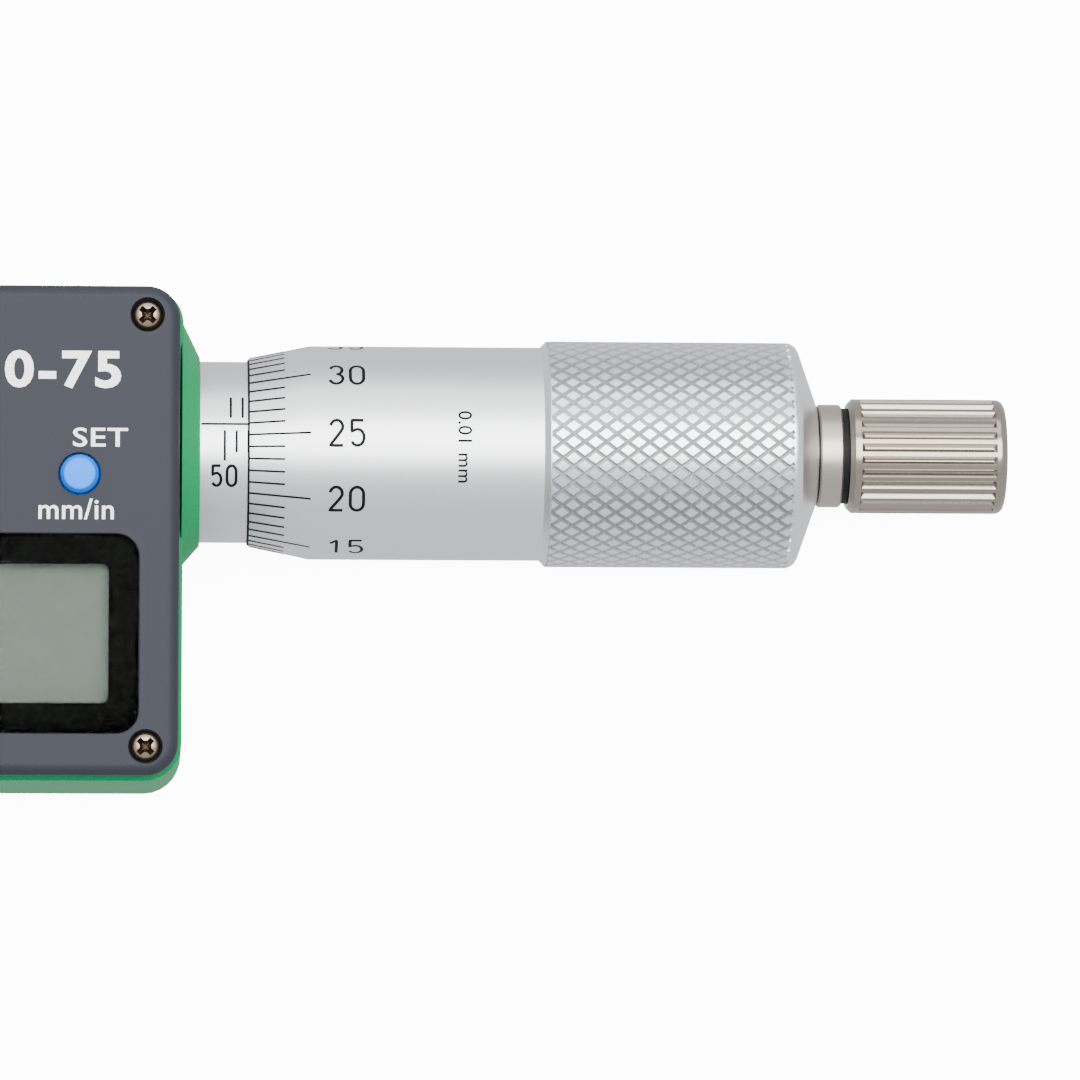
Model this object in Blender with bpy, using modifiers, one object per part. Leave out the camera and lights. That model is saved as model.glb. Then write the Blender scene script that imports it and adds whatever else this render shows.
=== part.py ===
"""Digital outside micrometer for 50 to 75 mm, lying on its back with the display facing up.

+X runs along the spindle from the anvil to the ratchet, +Y from the frame's bow towards the spindle, and
+Z out of the display. The origin is the centre of the anvil's measuring face. Lengths are in metres.
"""

import math

import bmesh
import bpy
from mathutils import Matrix, Vector

MM = 0.001

# Measuring range, and the opening that is modelled
SCREW_PITCH = 0.5 * MM
RANGE_LOW = 50.0 * MM
RANGE_HIGH = 75.0 * MM
READING = 51.76 * MM

# A plain cylinder at the pitch line stands in for the thread: its depth is this share of the pitch
PITCH_LINE_SHARE = 0.325

# Clearances
SEAT_GAP = 0.3 * MM
ROUND_GAP = 0.2 * MM
SLIDE_GAP = 0.2 * MM
THIMBLE_GAP = 0.15 * MM
BRAZE_LINE = 0.1 * MM
OVERCUT = 1.0 * MM

# Facets round a turned piece, and along a rounded corner
SEGMENTS = 32
SMALL_SEGMENTS = 20
SCREW_SEGMENTS = 12
BOSS_SEGMENTS = 64
CORNER_STEPS = 3
HOUSING_CORNER_STEPS = 7
ARC_STEP_DEG = 9.0
SMALL_ARC_STEP_DEG = 20.0

# Anvil and frame bow
SPINDLE_R = 3.175 * MM
TIP_LENGTH = 1.0 * MM
ANVIL_PROUD = 7.5 * MM
ANVIL_SEAT = 8.5 * MM
ARM_THICKNESS = 12.0 * MM
ARM_TOP_Y = 5.0 * MM
ARM_CORNER_R = 3.5 * MM
ARM_BOSS_R = 6.2 * MM
SPINDLE_PROUD = 6.0 * MM
THROAT_CENTRE_Y = -2.0 * MM
WEB_DEPTH = 13.25 * MM
WEB_THICKNESS = 9.0 * MM
WEB_EDGE_R = 1.2 * MM
WEB_FILLET_R = 8.0 * MM

# Spindle bush, its wiper seal and the lock
BUSH_WALL = 1.6 * MM
BUSH_LENGTH = 14.0 * MM
SEAL_DEPTH = 1.6 * MM
SEAL_WALL = 1.0 * MM
SPINDLE_BOSS_WALL = 1.4 * MM
LOCK_LAND = 8.28 * MM
LOCK_STEM_R = 1.8 * MM
LOCK_HUB_R = 2.8 * MM
LOCK_HUB_HEIGHT = 2.3 * MM
LOCK_ARM_LENGTH = 13.0 * MM
LOCK_ARM_HEIGHT = 1.7 * MM
LOCK_TIP_R = 1.6 * MM
LOCK_ROOT_R = 2.1 * MM
LOCK_EDGE = 0.3 * MM
LOCK_REST_DEG = 235.0
LOCK_POCKET_R = 2.6 * MM
LOCK_POCKET_DEPTH = 3.2 * MM
CLIP_THICKNESS = 0.4 * MM
CLIP_R = 2.3 * MM
CLIP_MOUTH = 2.2 * MM
CLIP_END_DEG = 20.0
CLIP_GROOVE_DEPTH = 0.5 * MM

# Display housing: the base is part of the frame, and the cover is screwed to it
COVER_WIDTH = 42.0 * MM
COVER_TOP_Y = 13.5 * MM
COVER_BOTTOM_Y = -27.65 * MM
COVER_WALL = 1.6 * MM
COVER_FACE_WALL = 1.8 * MM
COVER_CORNER_R = 2.8 * MM
COVER_EDGE_R = 1.0 * MM
COVER_TO_BOSS = 1.72 * MM
BASE_MARGIN = 0.3 * MM
BASE_BOTTOM_MARGIN = 0.4 * MM
BASE_FLARE = 1.3 * MM
BASE_SETBACK = 1.5 * MM
BASE_CORNER_R = 3.2 * MM
BASE_LEFT_CORNER_R = 5.0 * MM
BASE_BACK_R = 0.8 * MM
BASE_FRONT_R = 0.35 * MM
BACK_CLEARANCE = 1.32 * MM
BOSS_FOOT_R = 10.5 * MM
BOSS_FOOT_LIFT = 0.7 * MM
BOSS_LIP = 0.1 * MM
COVER_SCREW_INSET = 2.75 * MM
COVER_SCREW_TOP_INSET = 2.45 * MM
COVER_SCREW_BOTTOM_INSET = 2.49 * MM
COVER_SCREW_HEAD_R = 1.3 * MM
COVER_SCREW_HEAD_HEIGHT = 0.95 * MM
COVER_SCREW_SINK = 0.15 * MM
COVER_SCREW_R = 0.8 * MM
COVER_SCREW_GRIP = 4.4 * MM
COVER_POST_R = 2.3 * MM

# Display, board, keys
STATOR_R = 6.5 * MM
STATOR_HEADROOM = 0.2 * MM
BOARD_THICKNESS = 1.0 * MM
LCD_LIFT = 0.8 * MM
LCD_THICKNESS = 1.1 * MM
LCD_HEADROOM = 0.3 * MM
SEAL_HEIGHT = 0.5 * MM
SEAL_WIDTH = 1.2 * MM
WINDOW_SIDE_INSET = 3.4 * MM
WINDOW_TOP_Y = -7.4 * MM
WINDOW_BOTTOM_Y = -24.05 * MM
WINDOW_CORNER_R = 1.9 * MM
WINDOW_THICKNESS = 0.7 * MM
WINDOW_SINK = 0.1 * MM
VIEW_BORDER = 2.5 * MM
VIEW_CORNER_R = 0.56 * MM
LCD_BORDER = 1.3 * MM
HOLDER_WALL = 1.0 * MM
HOLDER_CORNER = 1.6 * MM
CONNECTOR_WIDTH = 1.2 * MM
SOFT_GAP = 0.1 * MM
BUTTON_INSET = 8.37 * MM
BUTTON_Y = -2.35 * MM
BUTTON_TOP_R = 1.35 * MM
BUTTON_R = 1.6 * MM
BUTTON_PROUD = 1.0 * MM
BUTTON_CROWN = 0.12 * MM
BUTTON_FLANGE_R = 2.4 * MM
BUTTON_FLANGE_HEIGHT = 0.4 * MM
BUTTON_TRAVEL = 0.5 * MM
KEY_PAD_WIDTH = 6.0 * MM
KEY_PAD_CORNER_R = 1.0 * MM
KEY_PAD_END = 3.4 * MM
POCKET_INSET = 6.5 * MM
POCKET_TOP_Y = -8.5 * MM
POCKET_BOTTOM_Y = -22.0 * MM
POCKET_FLOOR_Z = 1.0 * MM

# Battery
CELL_R = 5.8 * MM
CELL_HEIGHT = 5.4 * MM
CELL_RIM = 0.4 * MM
CELL_Y = -17.5 * MM
CONTACT_THICKNESS = 0.3 * MM
CONTACT_WIDTH = 3.6 * MM
LID_THICKNESS = 1.5 * MM
LID_SINK = 0.3 * MM
LID_WIDTH = 15.4 * MM
LID_CORNER_R = 3.0 * MM
LID_SCREW_OFFSET = 9.4 * MM
LID_SCREW_EDGE = 2.5 * MM
LID_SEAL_WALL = 0.6 * MM
LID_SEAL_LAND = 0.5 * MM
LID_SEAL_DEPTH = 0.7 * MM
LID_SCREW_HEAD_R = 1.5 * MM
LID_SCREW_HEAD_HEIGHT = 0.8 * MM
LID_SCREW_R = 0.8 * MM
LID_SCREW_GRIP = 3.0 * MM

# Encoder
STATOR_THICKNESS = 1.2 * MM
STATOR_CLEARANCE = 0.4 * MM
ENCODER_AIR_GAP = 0.5 * MM
ROTOR_THICKNESS = 1.2 * MM
ROTOR_RIM = 0.2 * MM
HUB_WALL = 1.2 * MM
HUB_LENGTH = 7.5 * MM
HUB_BORE_LENGTH = 8.0 * MM
CHAMBER_LENGTH = 6.5 * MM
KEY_WIDTH = 1.2 * MM
KEY_DEPTH = 0.8 * MM
KEY_END_CLEARANCE = 0.8 * MM
SPINDLE_ROOM = 0.7 * MM
ROTOR_SPRING_WIRE_R = 0.25 * MM
ROTOR_SPRING_TURNS = 3

# Sleeves
SLEEVE_R = 7.75 * MM
SLEEVE_WALL = 1.5 * MM
SLEEVE_SEAT = 0.8 * MM
SLEEVE_ZERO = 2.09 * MM
SLEEVE_OVERLAP = 2.73 * MM
SLEEVE_CHAMFER = 0.3 * MM
GUIDE_SEAT = 9.2 * MM
GUIDE_THREAD_STEP = 0.45 * MM
GUIDE_THREAD_LENGTH = 5.0 * MM
GUIDE_PROUD = 3.0 * MM
GUIDE_SLIT_WIDTH = 0.6 * MM
GUIDE_SLIT_LENGTH = 8.0 * MM
GUIDE_SLITS = 3
NUT_WALL = 1.1 * MM
NUT_LENGTH = 3.2 * MM
NUT_SLOT_WIDTH = 1.4 * MM
NUT_SLOT_DEPTH = 1.2 * MM

# Thimble, measured from its bevelled edge
EDGE_LEAD = 0.18 * MM
EDGE_WALL = 0.15 * MM
BEVEL_LENGTH = 5.33 * MM
THIMBLE_WALL = 1.24 * MM
THIMBLE_END_CLEARANCE = 1.77 * MM
GRIP_CAVITY = 7.33 * MM
GRIP_STEP = 0.54 * MM
GRIP_CHAMFER = 0.5 * MM
GRIP_GROOVE = 0.1 * MM
GRIP_LENGTH = 21.5 * MM
GRIP_ROUND = 0.95 * MM
END_CONE_LENGTH = 1.6 * MM
TAPER_STEP = 0.3 * MM
TAPER_FALL = 0.5 * MM
TAPER_LENGTH = 7.0 * MM

# Ratchet
NECK_R = 4.42 * MM
NECK_JOINT = 0.15 * MM
NECK_LENGTH = 2.2 * MM
RATCHET_GAP = 0.35 * MM
NECK_CHAMFER = 0.2 * MM
STEM_R = 2.0 * MM
POST_R = 1.7 * MM
POST_HOLE_DEPTH = 4.0 * MM
KNOB_R = 4.91 * MM
KNOB_WALL = 1.0 * MM
KNOB_CAVITY = 10.8 * MM
KNOB_FLOOR = 1.2 * MM
KNOB_RIM = 1.5 * MM
KNOB_CHAMFER = 0.42 * MM
KNOB_ROUND = 0.7 * MM
FLUTES = 28
FLUTE_DEPTH = 0.28 * MM
FLUTE_WIDTH = 0.52 * MM
FLUTE_ROOT = 0.2 * MM
FLUTE_START = 0.95 * MM
FLUTE_END = 0.95 * MM
TOOTH_COUNT = 12
TOOTH_HEIGHT = 0.6 * MM
TOOTH_BACKING = 1.2 * MM
TOOTH_ROOT_SHARE = 0.1
TOOTH_TIP_SHARE = 0.8
WHEEL_STANDOFF = 1.1 * MM
RATCHET_SCREW_R = 0.75 * MM
RATCHET_SCREW_HEAD_R = 2.1 * MM
RATCHET_SCREW_HEAD = 1.0 * MM
RATCHET_SPRING_WIRE_R = 0.22 * MM
RATCHET_SPRING_TURNS = 4

# Heat-insulating grip plates
PLATE_THICKNESS = 2.4 * MM
PLATE_INSET = 2.1 * MM
PLATE_EDGE_R = 0.8 * MM
PLATE_START_DEG = 204.0
PLATE_END_DEG = 320.0
PLATE_SCREW_DEG = (214.0, 310.0)
PLATE_SCREW_HEAD_R = 1.6 * MM
PLATE_SCREW_HEAD_HEIGHT = 0.8 * MM
PLATE_SCREW_SINK = 0.2 * MM
PLATE_SCREW_R = 0.9 * MM
PLATE_SCREW_GRIP = 2.4 * MM

# Places along the spindle axis
RIGHT_FACE_X = RANGE_HIGH + SPINDLE_PROUD
LEFT_FACE_X = -ANVIL_PROUD
ARM_OUTER_X = LEFT_FACE_X - ARM_THICKNESS
COVER_LEFT_X = RIGHT_FACE_X + LOCK_LAND
COVER_RIGHT_X = COVER_LEFT_X + COVER_WIDTH
COVER_CENTRE_X = (COVER_LEFT_X + COVER_RIGHT_X) / 2
BASE_RIGHT_X = COVER_RIGHT_X + BASE_MARGIN
BOSS_END_X = COVER_RIGHT_X + COVER_TO_BOSS
CHAMBER_END_X = BOSS_END_X - SLEEVE_SEAT - GUIDE_SEAT
CHAMBER_X = CHAMBER_END_X - CHAMBER_LENGTH
HUB_BORE_X = CHAMBER_X - HUB_BORE_LENGTH
STATOR_X = CHAMBER_END_X - SEAT_GAP - STATOR_THICKNESS
ROTOR_X = STATOR_X - ENCODER_AIR_GAP - ROTOR_THICKNESS
HUB_X = ROTOR_X - HUB_LENGTH
EDGE_X = BOSS_END_X + SLEEVE_ZERO + (READING - RANGE_LOW) + EDGE_LEAD
SLEEVE_END_X = EDGE_X + (RANGE_HIGH - READING) + SLEEVE_OVERLAP
GUIDE_END_X = SLEEVE_END_X + GUIDE_PROUD
NUT_X = SLEEVE_END_X + SEAT_GAP
NUT_END_X = NUT_X + NUT_LENGTH
CAVITY_END_X = NUT_END_X + (READING - RANGE_LOW) + THIMBLE_END_CLEARANCE
GRIP_X = CAVITY_END_X - GRIP_CAVITY
GRIP_END_X = GRIP_X + GRIP_LENGTH
THIMBLE_END_X = GRIP_END_X + END_CONE_LENGTH
TAPER_END_X = CAVITY_END_X + TAPER_LENGTH
NECK_X = THIMBLE_END_X + NECK_JOINT
NECK_END_X = NECK_X + NECK_LENGTH
KNOB_X = NECK_END_X + RATCHET_GAP
KNOB_CAVITY_END_X = KNOB_X + KNOB_CAVITY
KNOB_SEAT_X = KNOB_CAVITY_END_X + KNOB_FLOOR
KNOB_END_X = KNOB_SEAT_X + KNOB_RIM
WHEEL_X = NECK_END_X + WHEEL_STANDOFF
PAWL_X = WHEEL_X + TOOTH_BACKING + TOOTH_HEIGHT + SEAT_GAP
PAWL_END_X = PAWL_X + TOOTH_HEIGHT + TOOTH_BACKING
POST_END_X = KNOB_CAVITY_END_X - SEAT_GAP

# Radii that follow from the stack of sleeves
BUSH_BORE_R = SPINDLE_R + SLIDE_GAP
BUSH_R = BUSH_BORE_R + BUSH_WALL
SPINDLE_BOSS_R = BUSH_R + ROUND_GAP + SPINDLE_BOSS_WALL
HUB_R = BUSH_BORE_R + HUB_WALL
ROTOR_R = STATOR_R - ROTOR_RIM
SLEEVE_BORE_R = SLEEVE_R - SLEEVE_WALL
GUIDE_R = SLEEVE_BORE_R - ROUND_GAP
THREAD_R = GUIDE_R - GUIDE_THREAD_STEP
THIMBLE_BORE_R = SLEEVE_R + THIMBLE_GAP
THIMBLE_R = THIMBLE_BORE_R + THIMBLE_WALL
GRIP_R = THIMBLE_R + GRIP_STEP
THREAD_RELIEF = SCREW_PITCH * PITCH_LINE_SHARE
TAPER_R = SPINDLE_R - TAPER_STEP
TAPER_END_R = TAPER_R - TAPER_FALL
KNOB_BORE_R = KNOB_R - KNOB_WALL

# Places across the housing
BASE_TOP_Z = STATOR_R + STATOR_HEADROOM
BASE_BACK_Z = -(GRIP_R + BACK_CLEARANCE)
COVER_Z = BASE_TOP_Z + SEAT_GAP
BOARD_Z = BASE_TOP_Z + SEAT_GAP
BOARD_TOP_Z = BOARD_Z + BOARD_THICKNESS
LCD_Z = BOARD_TOP_Z + LCD_LIFT
LCD_TOP_Z = LCD_Z + LCD_THICKNESS
COVER_INNER_Z = LCD_TOP_Z + LCD_HEADROOM
COVER_FACE_Z = COVER_INNER_Z + COVER_FACE_WALL
WINDOW_TOP_Z = COVER_FACE_Z - WINDOW_SINK
WINDOW_Z = WINDOW_TOP_Z - WINDOW_THICKNESS
WINDOW_SEAT_Z = WINDOW_Z - ROUND_GAP
BASE_BOTTOM_Y = COVER_BOTTOM_Y - BASE_BOTTOM_MARGIN
THROAT_R = (RIGHT_FACE_X - LEFT_FACE_X) / 2
THROAT_CENTRE_X = (RIGHT_FACE_X + LEFT_FACE_X) / 2
OUTER_R = THROAT_R + WEB_DEPTH
OUTER_CENTRE_X = ARM_OUTER_X + OUTER_R
WEB_HALF = WEB_THICKNESS / 2
LOCK_X = COVER_LEFT_X - SEAT_GAP - LOCK_HUB_R
LOCK_Y = -(SPINDLE_R + SEAT_GAP + LOCK_STEM_R)
LID_TOP_Z = BASE_BACK_Z + LID_SINK + LID_THICKNESS
LID_SEAT_Z = LID_TOP_Z + SEAT_GAP
CELL_Z = LID_TOP_Z + SEAT_GAP
CELL_TOP_Z = CELL_Z + CELL_HEIGHT
CONTACT_Z = CELL_TOP_Z + SEAT_GAP
CELL_ROOF_Z = CONTACT_Z + CONTACT_THICKNESS + SEAT_GAP
CELL_BORE_R = CELL_R + SEAT_GAP
LID_SEAL_R = CELL_BORE_R + LID_SEAL_LAND

# Finishes: colour, roughness, metallic
GREEN_PAINT = ((0.010, 0.390, 0.160, 1.0), 0.35, 0.0)
COVER_PLASTIC = ((0.115, 0.125, 0.155, 1.0), 0.45, 0.0)
BLACK_PLASTIC = ((0.020, 0.020, 0.022, 1.0), 0.50, 0.0)
BLUE_PLASTIC = ((0.235, 0.510, 0.910, 1.0), 0.35, 0.0)
WHITE_PLASTIC = ((0.780, 0.780, 0.760, 1.0), 0.45, 0.0)
GREY_RUBBER = ((0.060, 0.060, 0.065, 1.0), 0.80, 0.0)
LCD_GLASS = ((0.290, 0.340, 0.270, 1.0), 0.25, 0.0)
CLEAR_GLASS = ((0.900, 0.920, 0.920, 1.0), 0.05, 0.0)
BOARD_LAMINATE = ((0.020, 0.180, 0.080, 1.0), 0.50, 0.0)
SATIN_CHROME = ((0.740, 0.745, 0.750, 1.0), 0.35, 1.0)
BRIGHT_STEEL = ((0.620, 0.610, 0.590, 1.0), 0.22, 1.0)
GROUND_STEEL = ((0.560, 0.565, 0.570, 1.0), 0.28, 1.0)
CARBIDE = ((0.300, 0.300, 0.310, 1.0), 0.30, 1.0)
SCREW_STEEL = ((0.460, 0.420, 0.370, 1.0), 0.30, 1.0)
SPRING_STEEL = ((0.500, 0.500, 0.500, 1.0), 0.35, 1.0)
GOLD_CONTACT = ((0.830, 0.600, 0.240, 1.0), 0.30, 1.0)

SMOOTH_ANGLE = math.radians(32)
FLAT_ANGLE = math.radians(0.1)
MARKER_SIZE = 3.0 * MM
TINY = 1e-6


def clear_scene():
    """Remove every object of the scene."""
    for item in list(bpy.data.objects):
        bpy.data.objects.remove(item, do_unlink=True)


def new_collection(name):
    """A collection of this name, linked to the scene."""
    collection = bpy.data.collections.new(name)
    bpy.context.scene.collection.children.link(collection)
    return collection


def link_mesh(name, mesh, location=(0.0, 0.0, 0.0)):
    """A helper object for a mesh; piece() later turns the finished ones into parts."""
    item = bpy.data.objects.new(name, mesh)
    item.location = location
    item.hide_render = True
    item.display_type = "WIRE"
    CUTTERS.objects.link(item)
    return item


def link_bmesh(name, bm, location=(0.0, 0.0, 0.0)):
    """A helper object from a bmesh, which is freed."""
    mesh = bpy.data.meshes.new(name)
    bm.to_mesh(mesh)
    bm.free()
    return link_mesh(name, mesh, location)


def new_material(name, finish):
    """A Principled BSDF with the finish's colour, roughness and metallic value."""
    colour, roughness, metallic = finish
    made = bpy.data.materials.new(name)
    made.use_nodes = True
    made.diffuse_color = colour
    shader = made.node_tree.nodes["Principled BSDF"]
    shader.inputs["Base Color"].default_value = colour
    shader.inputs["Roughness"].default_value = roughness
    shader.inputs["Metallic"].default_value = metallic
    return made


def evaluated_mesh(item):
    """The object's mesh with its modifiers applied."""
    bpy.context.view_layer.update()
    graph = bpy.context.evaluated_depsgraph_get()
    return bpy.data.meshes.new_from_object(item.evaluated_get(graph))


def freeze(item):
    """Apply the object's modifiers."""
    mesh = evaluated_mesh(item)
    item.modifiers.clear()
    item.data = mesh


def piece(item, finish, parent=None):
    """Turn a shaped helper into a finished part of the micrometer."""
    freeze(item)
    item.data.name = item.name
    item.data.materials.clear()
    item.data.materials.append(new_material(item.name + "_finish", finish))
    item.data.shade_smooth()
    item.data.set_sharp_from_angle(angle=SMOOTH_ANGLE)
    CUTTERS.objects.unlink(item)
    PARTS.objects.link(item)
    item.hide_render = False
    item.display_type = "TEXTURED"
    if parent:
        item.parent = parent
        item.matrix_parent_inverse = Matrix.Translation(parent.location).inverted()
    return item


def joint_marker(name, location, parent=None):
    """An empty on a joint's axis, which the pieces that move with it hang from."""
    marker = bpy.data.objects.new(name, None)
    marker.empty_display_size = MARKER_SIZE
    marker.location = location
    PARTS.objects.link(marker)
    if parent:
        marker.parent = parent
        marker.matrix_parent_inverse = Matrix.Translation(parent.location).inverted()
    return marker


def combine(target, other, operation="DIFFERENCE"):
    """Cut the other object from the target, or join it on with UNION."""
    modifier = target.modifiers.new(other.name, "BOOLEAN")
    modifier.operation = operation
    modifier.object = other
    return target


def signed_area(points):
    """Twice the area inside a closed outline, positive when it runs anticlockwise."""
    following = points[1:] + points[:1]
    return sum(a[0] * b[1] - b[0] * a[1] for a, b in zip(points, following))


def turned(name, profile, axis="X", centre=(0.0, 0.0), segments=SEGMENTS):
    """A solid of revolution.

    The profile holds (place along the axis, radius) points. Axis X is the spindle axis, and axis Z stands
    upright at centre. A profile that starts and ends on the axis makes a solid; any other is a closed ring.
    """
    origin = profile[0][0]
    points = [(radius, along - origin) for along, radius in profile]
    if signed_area(points) > 0:
        points.reverse()
    solid = abs(points[0][0]) < TINY and abs(points[-1][0]) < TINY
    bm = bmesh.new()
    corners = [bm.verts.new((radius, 0.0, along)) for radius, along in points]
    for first, second in zip(corners, corners[1:]):
        bm.edges.new((first, second))
    if not solid:
        bm.edges.new((corners[-1], corners[0]))
    place = (origin, 0.0, 0.0) if axis == "X" else (centre[0], centre[1], origin)
    item = link_bmesh(name, bm, place)
    if axis == "X":
        item.rotation_euler = (0.0, math.pi / 2, 0.0)
    screw = item.modifiers.new("Turn", "SCREW")
    screw.axis = "Z"
    screw.angle = math.tau
    screw.steps = segments
    screw.render_steps = segments
    screw.use_merge_vertices = True
    screw.merge_threshold = TINY
    return item


def cylinder(name, low, high, radius, axis="X", centre=(0.0, 0.0), segments=SEGMENTS):
    """A plain round bar between two places along its axis."""
    profile = [(low, 0.0), (low, radius), (high, radius), (high, 0.0)]
    return turned(name, profile, axis, centre, segments)


def ring(name, low, high, outer_r, inner_r, axis="X", centre=(0.0, 0.0), segments=SMALL_SEGMENTS):
    """A plain tube between two places along its axis."""
    profile = [(low, outer_r), (high, outer_r), (high, inner_r), (low, inner_r)]
    return turned(name, profile, axis, centre, segments)


def stepped(name, steps, axis="X", centre=(0.0, 0.0), segments=SMALL_SEGMENTS):
    """A solid bar of (low, high, radius) steps, for bores and counterbores."""
    profile = [(steps[0][0], 0.0)]
    for low, high, radius in steps:
        profile += [(low, radius), (high, radius)]
    profile.append((steps[-1][1], 0.0))
    return turned(name, profile, axis, centre, segments)


def block(name, low, high):
    """A box between two corners."""
    bm = bmesh.new()
    size = Vector(high) - Vector(low)
    middle = (Vector(high) + Vector(low)) / 2
    place = Matrix.Translation(middle) @ Matrix.Diagonal((*size, 1.0))
    bmesh.ops.create_cube(bm, size=1.0, matrix=place)
    return link_bmesh(name, bm)


def arc(centre, radius, start_deg, end_deg, step_deg=ARC_STEP_DEG):
    """Points along an arc, its ends included."""
    steps = max(2, math.ceil(abs(end_deg - start_deg) / step_deg))
    angles = [math.radians(start_deg + (end_deg - start_deg) * i / steps) for i in range(steps + 1)]
    return [(centre[0] + radius * math.cos(a), centre[1] + radius * math.sin(a)) for a in angles]


def rounded(corners, steps=CORNER_STEPS):
    """A closed outline through (x, y, radius) corners, each with its own rounding."""
    outline = []
    for before, corner, after in zip(corners[-1:] + corners[:-1], corners, corners[1:] + corners[:1]):
        at = Vector(corner[:2])
        radius = corner[2]
        if radius < TINY:
            outline.append(tuple(at))
            continue
        back = (Vector(before[:2]) - at).normalized()
        on = (Vector(after[:2]) - at).normalized()
        half = back.angle(on) / 2
        centre = at + (back + on).normalized() * (radius / math.sin(half))
        first = at + back * (radius / math.tan(half)) - centre
        last = at + on * (radius / math.tan(half)) - centre
        sweep = first.angle_signed(last)
        for i in range(steps + 1):
            outline.append(tuple(centre + Matrix.Rotation(-sweep * i / steps, 2) @ first))
    return outline


def rectangle(low_x, low_y, high_x, high_y, radius=0.0):
    """A rectangle's outline, with the same radius at its four corners."""
    places = [(low_x, low_y), (high_x, low_y), (high_x, high_y), (low_x, high_y)]
    return rounded([(x, y, radius) for x, y in places])


def plate(name, outlines, low_z, high_z):
    """A flat plate from closed outlines: the first is its edge, and any others are openings."""
    curve = bpy.data.curves.new(name, "CURVE")
    curve.dimensions = "2D"
    curve.fill_mode = "BOTH"
    curve.extrude = (high_z - low_z) / 2
    for outline in outlines:
        spline = curve.splines.new("POLY")
        spline.points.add(len(outline) - 1)
        for point, (x, y) in zip(spline.points, outline):
            point.co = (x, y, 0.0, 1.0)
        spline.use_cyclic_u = True
    drawn = bpy.data.objects.new(name + "_outline", curve)
    CUTTERS.objects.link(drawn)
    bm = bmesh.new()
    bm.from_mesh(evaluated_mesh(drawn))
    bpy.data.objects.remove(drawn)
    bmesh.ops.remove_doubles(bm, verts=bm.verts, dist=TINY)
    bmesh.ops.dissolve_limit(bm, angle_limit=FLAT_ANGLE, verts=bm.verts, edges=bm.edges)
    bmesh.ops.translate(bm, verts=bm.verts, vec=(0.0, 0.0, (high_z + low_z) / 2))
    bmesh.ops.recalc_face_normals(bm, faces=bm.faces)
    return link_bmesh(name, bm)


def round_rim(item, level, radius, steps):
    """Round the edges of a plate that lie at one height."""
    bm = bmesh.new()
    bm.from_mesh(item.data)
    rim = [edge for edge in bm.edges if all(abs(v.co.z - level) < TINY for v in edge.verts)]
    bmesh.ops.bevel(
        bm, geom=rim, offset=radius, segments=steps, profile=0.5, affect="EDGES", material=-1
    )
    bm.to_mesh(item.data)
    bm.free()
    return item


def coil(name, low_x, high_x, radius, wire_radius, turns):
    """A compression spring round the spindle axis."""
    per_turn = 8
    curve = bpy.data.curves.new(name, "CURVE")
    curve.dimensions = "3D"
    curve.bevel_depth = wire_radius
    curve.bevel_resolution = 1
    curve.use_fill_caps = True
    spline = curve.splines.new("POLY")
    count = per_turn * turns + 1
    spline.points.add(count - 1)
    rise = high_x - low_x - 2 * wire_radius
    for i, point in enumerate(spline.points):
        angle = math.tau * i / per_turn
        along = low_x + wire_radius + rise * i / (count - 1)
        point.co = (along, radius * math.cos(angle), radius * math.sin(angle), 1.0)
    drawn = bpy.data.objects.new(name + "_wire", curve)
    CUTTERS.objects.link(drawn)
    bm = bmesh.new()
    bm.from_mesh(evaluated_mesh(drawn))
    bpy.data.objects.remove(drawn)
    bmesh.ops.remove_doubles(bm, verts=bm.verts, dist=TINY)
    bmesh.ops.recalc_face_normals(bm, faces=bm.faces)
    return link_bmesh(name, bm)


def web_outline():
    """The bow of the frame, seen from the front, with the fillet where it runs into the housing base."""
    reach = OUTER_R + WEB_FILLET_R
    drop = THROAT_CENTRE_Y - (BASE_BOTTOM_Y - WEB_FILLET_R)
    fillet_x = OUTER_CENTRE_X + math.sqrt(reach**2 - drop**2)
    touch_deg = math.degrees(math.atan2(-drop, fillet_x - OUTER_CENTRE_X))
    arm_start = (RIGHT_FACE_X, ARM_TOP_Y)
    throat = arc((THROAT_CENTRE_X, THROAT_CENTRE_Y), THROAT_R, 0.0, -180.0)
    left_arm = rounded(
        [
            (LEFT_FACE_X, THROAT_CENTRE_Y, 0.0),
            (LEFT_FACE_X, ARM_TOP_Y, ARM_CORNER_R / 2),
            (ARM_OUTER_X, ARM_TOP_Y, ARM_CORNER_R),
            (ARM_OUTER_X, THROAT_CENTRE_Y, 0.0),
        ]
    )
    bow = arc((OUTER_CENTRE_X, THROAT_CENTRE_Y), OUTER_R, 180.0, 360.0 + touch_deg)
    fillet = arc((fillet_x, BASE_BOTTOM_Y - WEB_FILLET_R), WEB_FILLET_R, 180.0 + touch_deg, 90.0)
    inside = [(fillet_x, LOCK_Y), (RIGHT_FACE_X + BUSH_LENGTH, ARM_TOP_Y)]
    return [arm_start] + throat + left_arm[1:-1] + bow + fillet[1:] + inside


def base_outline():
    """The housing base, whose left side follows the throat."""
    follow = THROAT_R + BASE_SETBACK
    drop = math.degrees(math.asin((BASE_BOTTOM_Y - THROAT_CENTRE_Y) / follow))
    left_x = THROAT_CENTRE_X + follow
    side = arc((THROAT_CENTRE_X, THROAT_CENTRE_Y), follow, 0.0, drop)
    corners = [
        (BASE_RIGHT_X, BASE_BOTTOM_Y, BASE_CORNER_R),
        (BASE_RIGHT_X, COVER_TOP_Y, COVER_CORNER_R),
        (left_x, COVER_TOP_Y, BASE_LEFT_CORNER_R),
        *[(x, y, 0.0) for x, y in side[:-1]],
        (*side[-1], BASE_CORNER_R / 2),
    ]
    return rounded(corners, HOUSING_CORNER_STEPS)


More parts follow.
